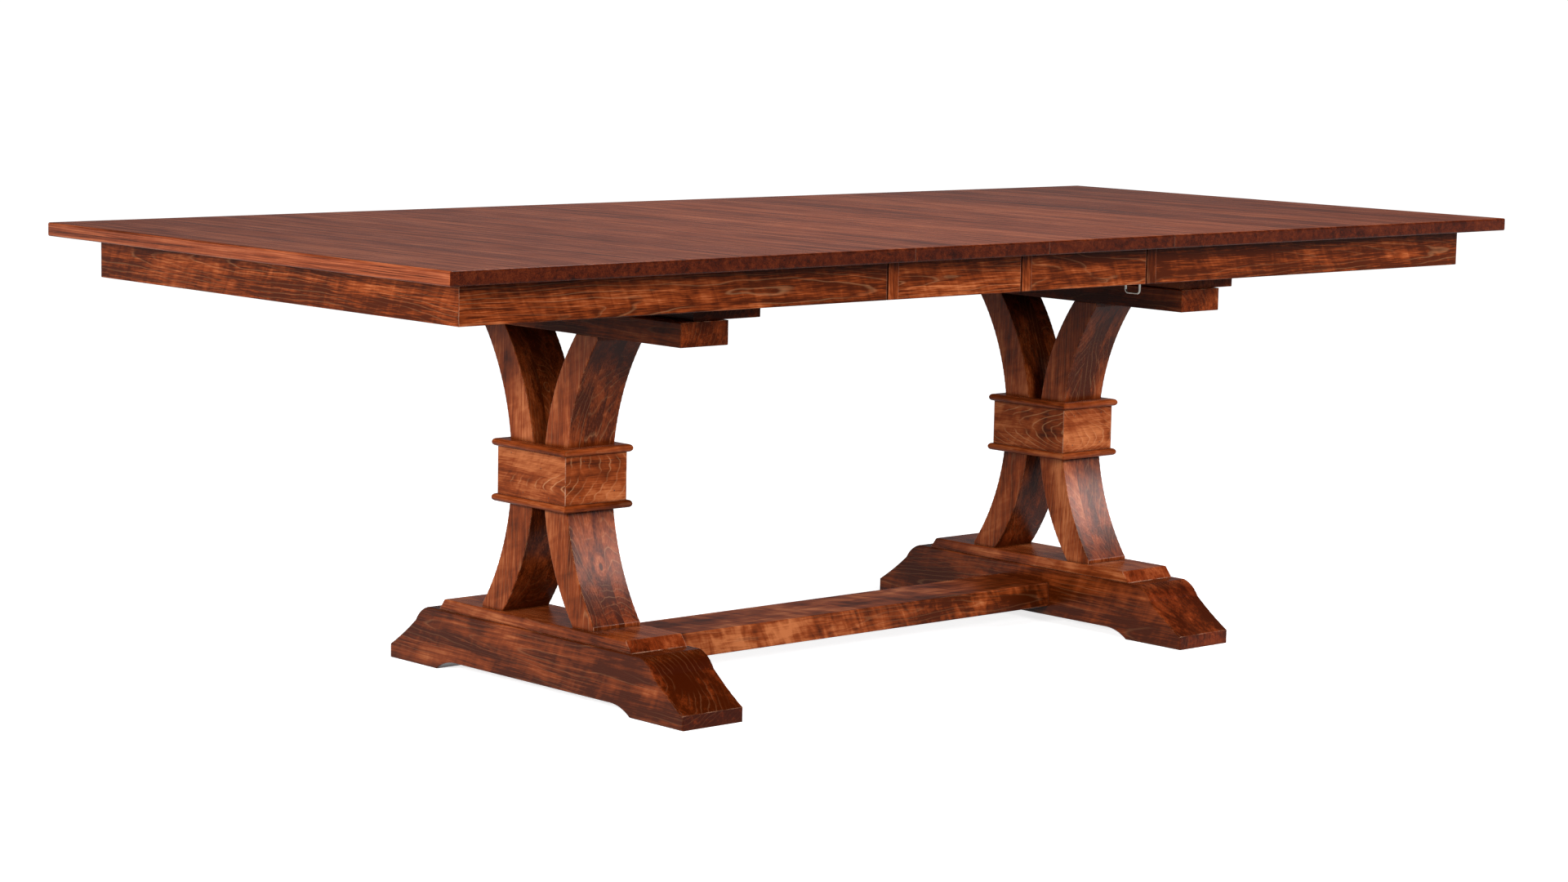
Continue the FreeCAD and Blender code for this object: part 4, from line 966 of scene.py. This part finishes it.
def soft_box(name, place, target, width, height, power, mirrored):
    """A soft lamp that faces the table. The lacquer can show it or not."""
    lamp = bpy.data.lights.new(name, "AREA")
    lamp.shape = "RECTANGLE"
    lamp.size = width
    lamp.size_y = height
    lamp.energy = power
    box = bpy.data.objects.new(name, lamp)
    box.location = place
    box.rotation_euler = (Vector(target) - Vector(place)).to_track_quat("-Z", "Y").to_euler()
    box.visible_glossy = mirrored
    bpy.context.scene.collection.objects.link(box)
    return box


def sheen_on_curved_legs():
    """A soft box that only gives the lacquer of the two front legs its sheen."""
    box = soft_box(*LEG_SHEEN_LAMP)
    box.visible_diffuse = False
    front_legs = bpy.data.collections.new("front_legs")
    for leg in ("left_leg_front", "right_leg_front"):
        front_legs.objects.link(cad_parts[leg])
    box.light_linking.receiver_collection = front_legs


def fill_air():
    """A dim air, a little paler high up and behind the table, where the lacquer mirrors it."""
    world = bpy.data.worlds.new("studio_air")
    tree = empty_tree(world)
    way = put(tree, "ShaderNodeTexCoord").outputs["Generated"]
    air = blend_colours(tree, between(tree, split(tree, way)[2], 0.0, AIR_TOP), LOW_AIR, HIGH_AIR)
    behind = between(tree, reckon_vector(tree, "DOT_PRODUCT", way, WAY_TO_PALE_AIR), PALE_AIR_EDGE, 1.0)
    background = put(tree, "ShaderNodeBackground")
    feed(tree, background.inputs["Color"], blend_colours(tree, behind, air, PALE_AIR))
    background.inputs["Strength"].default_value = 1.0
    output = put(tree, "ShaderNodeOutputWorld")
    tree.links.new(background.outputs[0], output.inputs[0])
    bpy.context.scene.world = world


def mix_shaders(tree, share, first, second):
    """The first shader, and the second one where the share is 1."""
    made = put(tree, "ShaderNodeMixShader")
    for socket, source in zip(made.inputs, (share, first, second)):
        tree.links.new(source, socket)
    return made.outputs[0]


def pale_floor():
    """White to the eye with the table's shadow on it, dim to the lamps' light, and clear from below."""
    material = bpy.data.materials.new("pale_floor")
    tree = empty_tree(material)
    path = put(tree, "ShaderNodeLightPath").outputs
    shaded = put(tree, "ShaderNodeBsdfDiffuse")
    shaded.inputs["Color"].default_value = FLOOR_PAINT
    quiet = put(tree, "ShaderNodeBsdfDiffuse")
    quiet.inputs["Color"].default_value = FLOOR_RETURN
    glow = put(tree, "ShaderNodeEmission")
    glow.inputs["Color"].default_value = FLOOR_GLOW
    place = put(tree, "ShaderNodeTexCoord").outputs["Object"]
    far = between(tree, reckon_vector(tree, "LENGTH", place), GLOW_FROM, GLOW_FULL)
    feed(tree, glow.inputs["Strength"], reckon(tree, "MULTIPLY_ADD", far, GLOW_GAIN, GLOW_NEAR))
    bright = put(tree, "ShaderNodeAddShader")
    tree.links.new(shaded.outputs[0], bright.inputs[0])
    tree.links.new(glow.outputs[0], bright.inputs[1])
    clear = put(tree, "ShaderNodeBsdfTransparent")
    underside = put(tree, "ShaderNodeNewGeometry").outputs["Backfacing"]
    mirrored = reckon(tree, "MAXIMUM", path["Is Glossy Ray"], path["Is Transmission Ray"])
    unseen = mix_shaders(tree, mirrored, quiet.outputs[0], glow.outputs[0])
    from_above = mix_shaders(tree, path["Is Camera Ray"], unseen, bright.outputs[0])
    output = put(tree, "ShaderNodeOutputMaterial")
    feed(tree, output.inputs["Surface"], mix_shaders(tree, underside, from_above, clear.outputs[0]))
    return material


def lay_floor():
    """A wide flat floor under the feet."""
    corners = ((-1, -1), (1, -1), (1, 1), (-1, 1))
    mesh = bpy.data.meshes.new("studio_floor")
    mesh.from_pydata([(x * FLOOR_REACH, y * FLOOR_REACH, 0) for x, y in corners], [], [(0, 1, 2, 3)])
    mesh.materials.append(pale_floor())
    floor = bpy.data.objects.new("studio_floor", mesh)
    bpy.context.scene.collection.objects.link(floor)


zinc_plate = metal("zinc_plate", (0.66, 0.64, 0.60), roughness=0.34, seed=3.0)
machined_steel = metal("machined_steel", (0.52, 0.51, 0.50), roughness=0.30, seed=5.0)
bright_wire = metal("bright_wire", (0.50, 0.48, 0.44), roughness=0.26, seed=7.0)

set_camera()
finish_wood()
finish_metal(zinc_plate, machined_steel, bright_wire)
add_beads()
add_fasteners(zinc_plate)
add_lock_screws(zinc_plate)
add_nail_fills(wood_putty())
for end in ("front", "rear"):
    wire_bail(f"{end}_bail", f"{end}_lock_bail", bright_wire)
for lamp in LAMPS:
    soft_box(*lamp)
sheen_on_curved_legs()
fill_air()
lay_floor()
bpy.context.scene.view_settings.view_transform = "Standard"
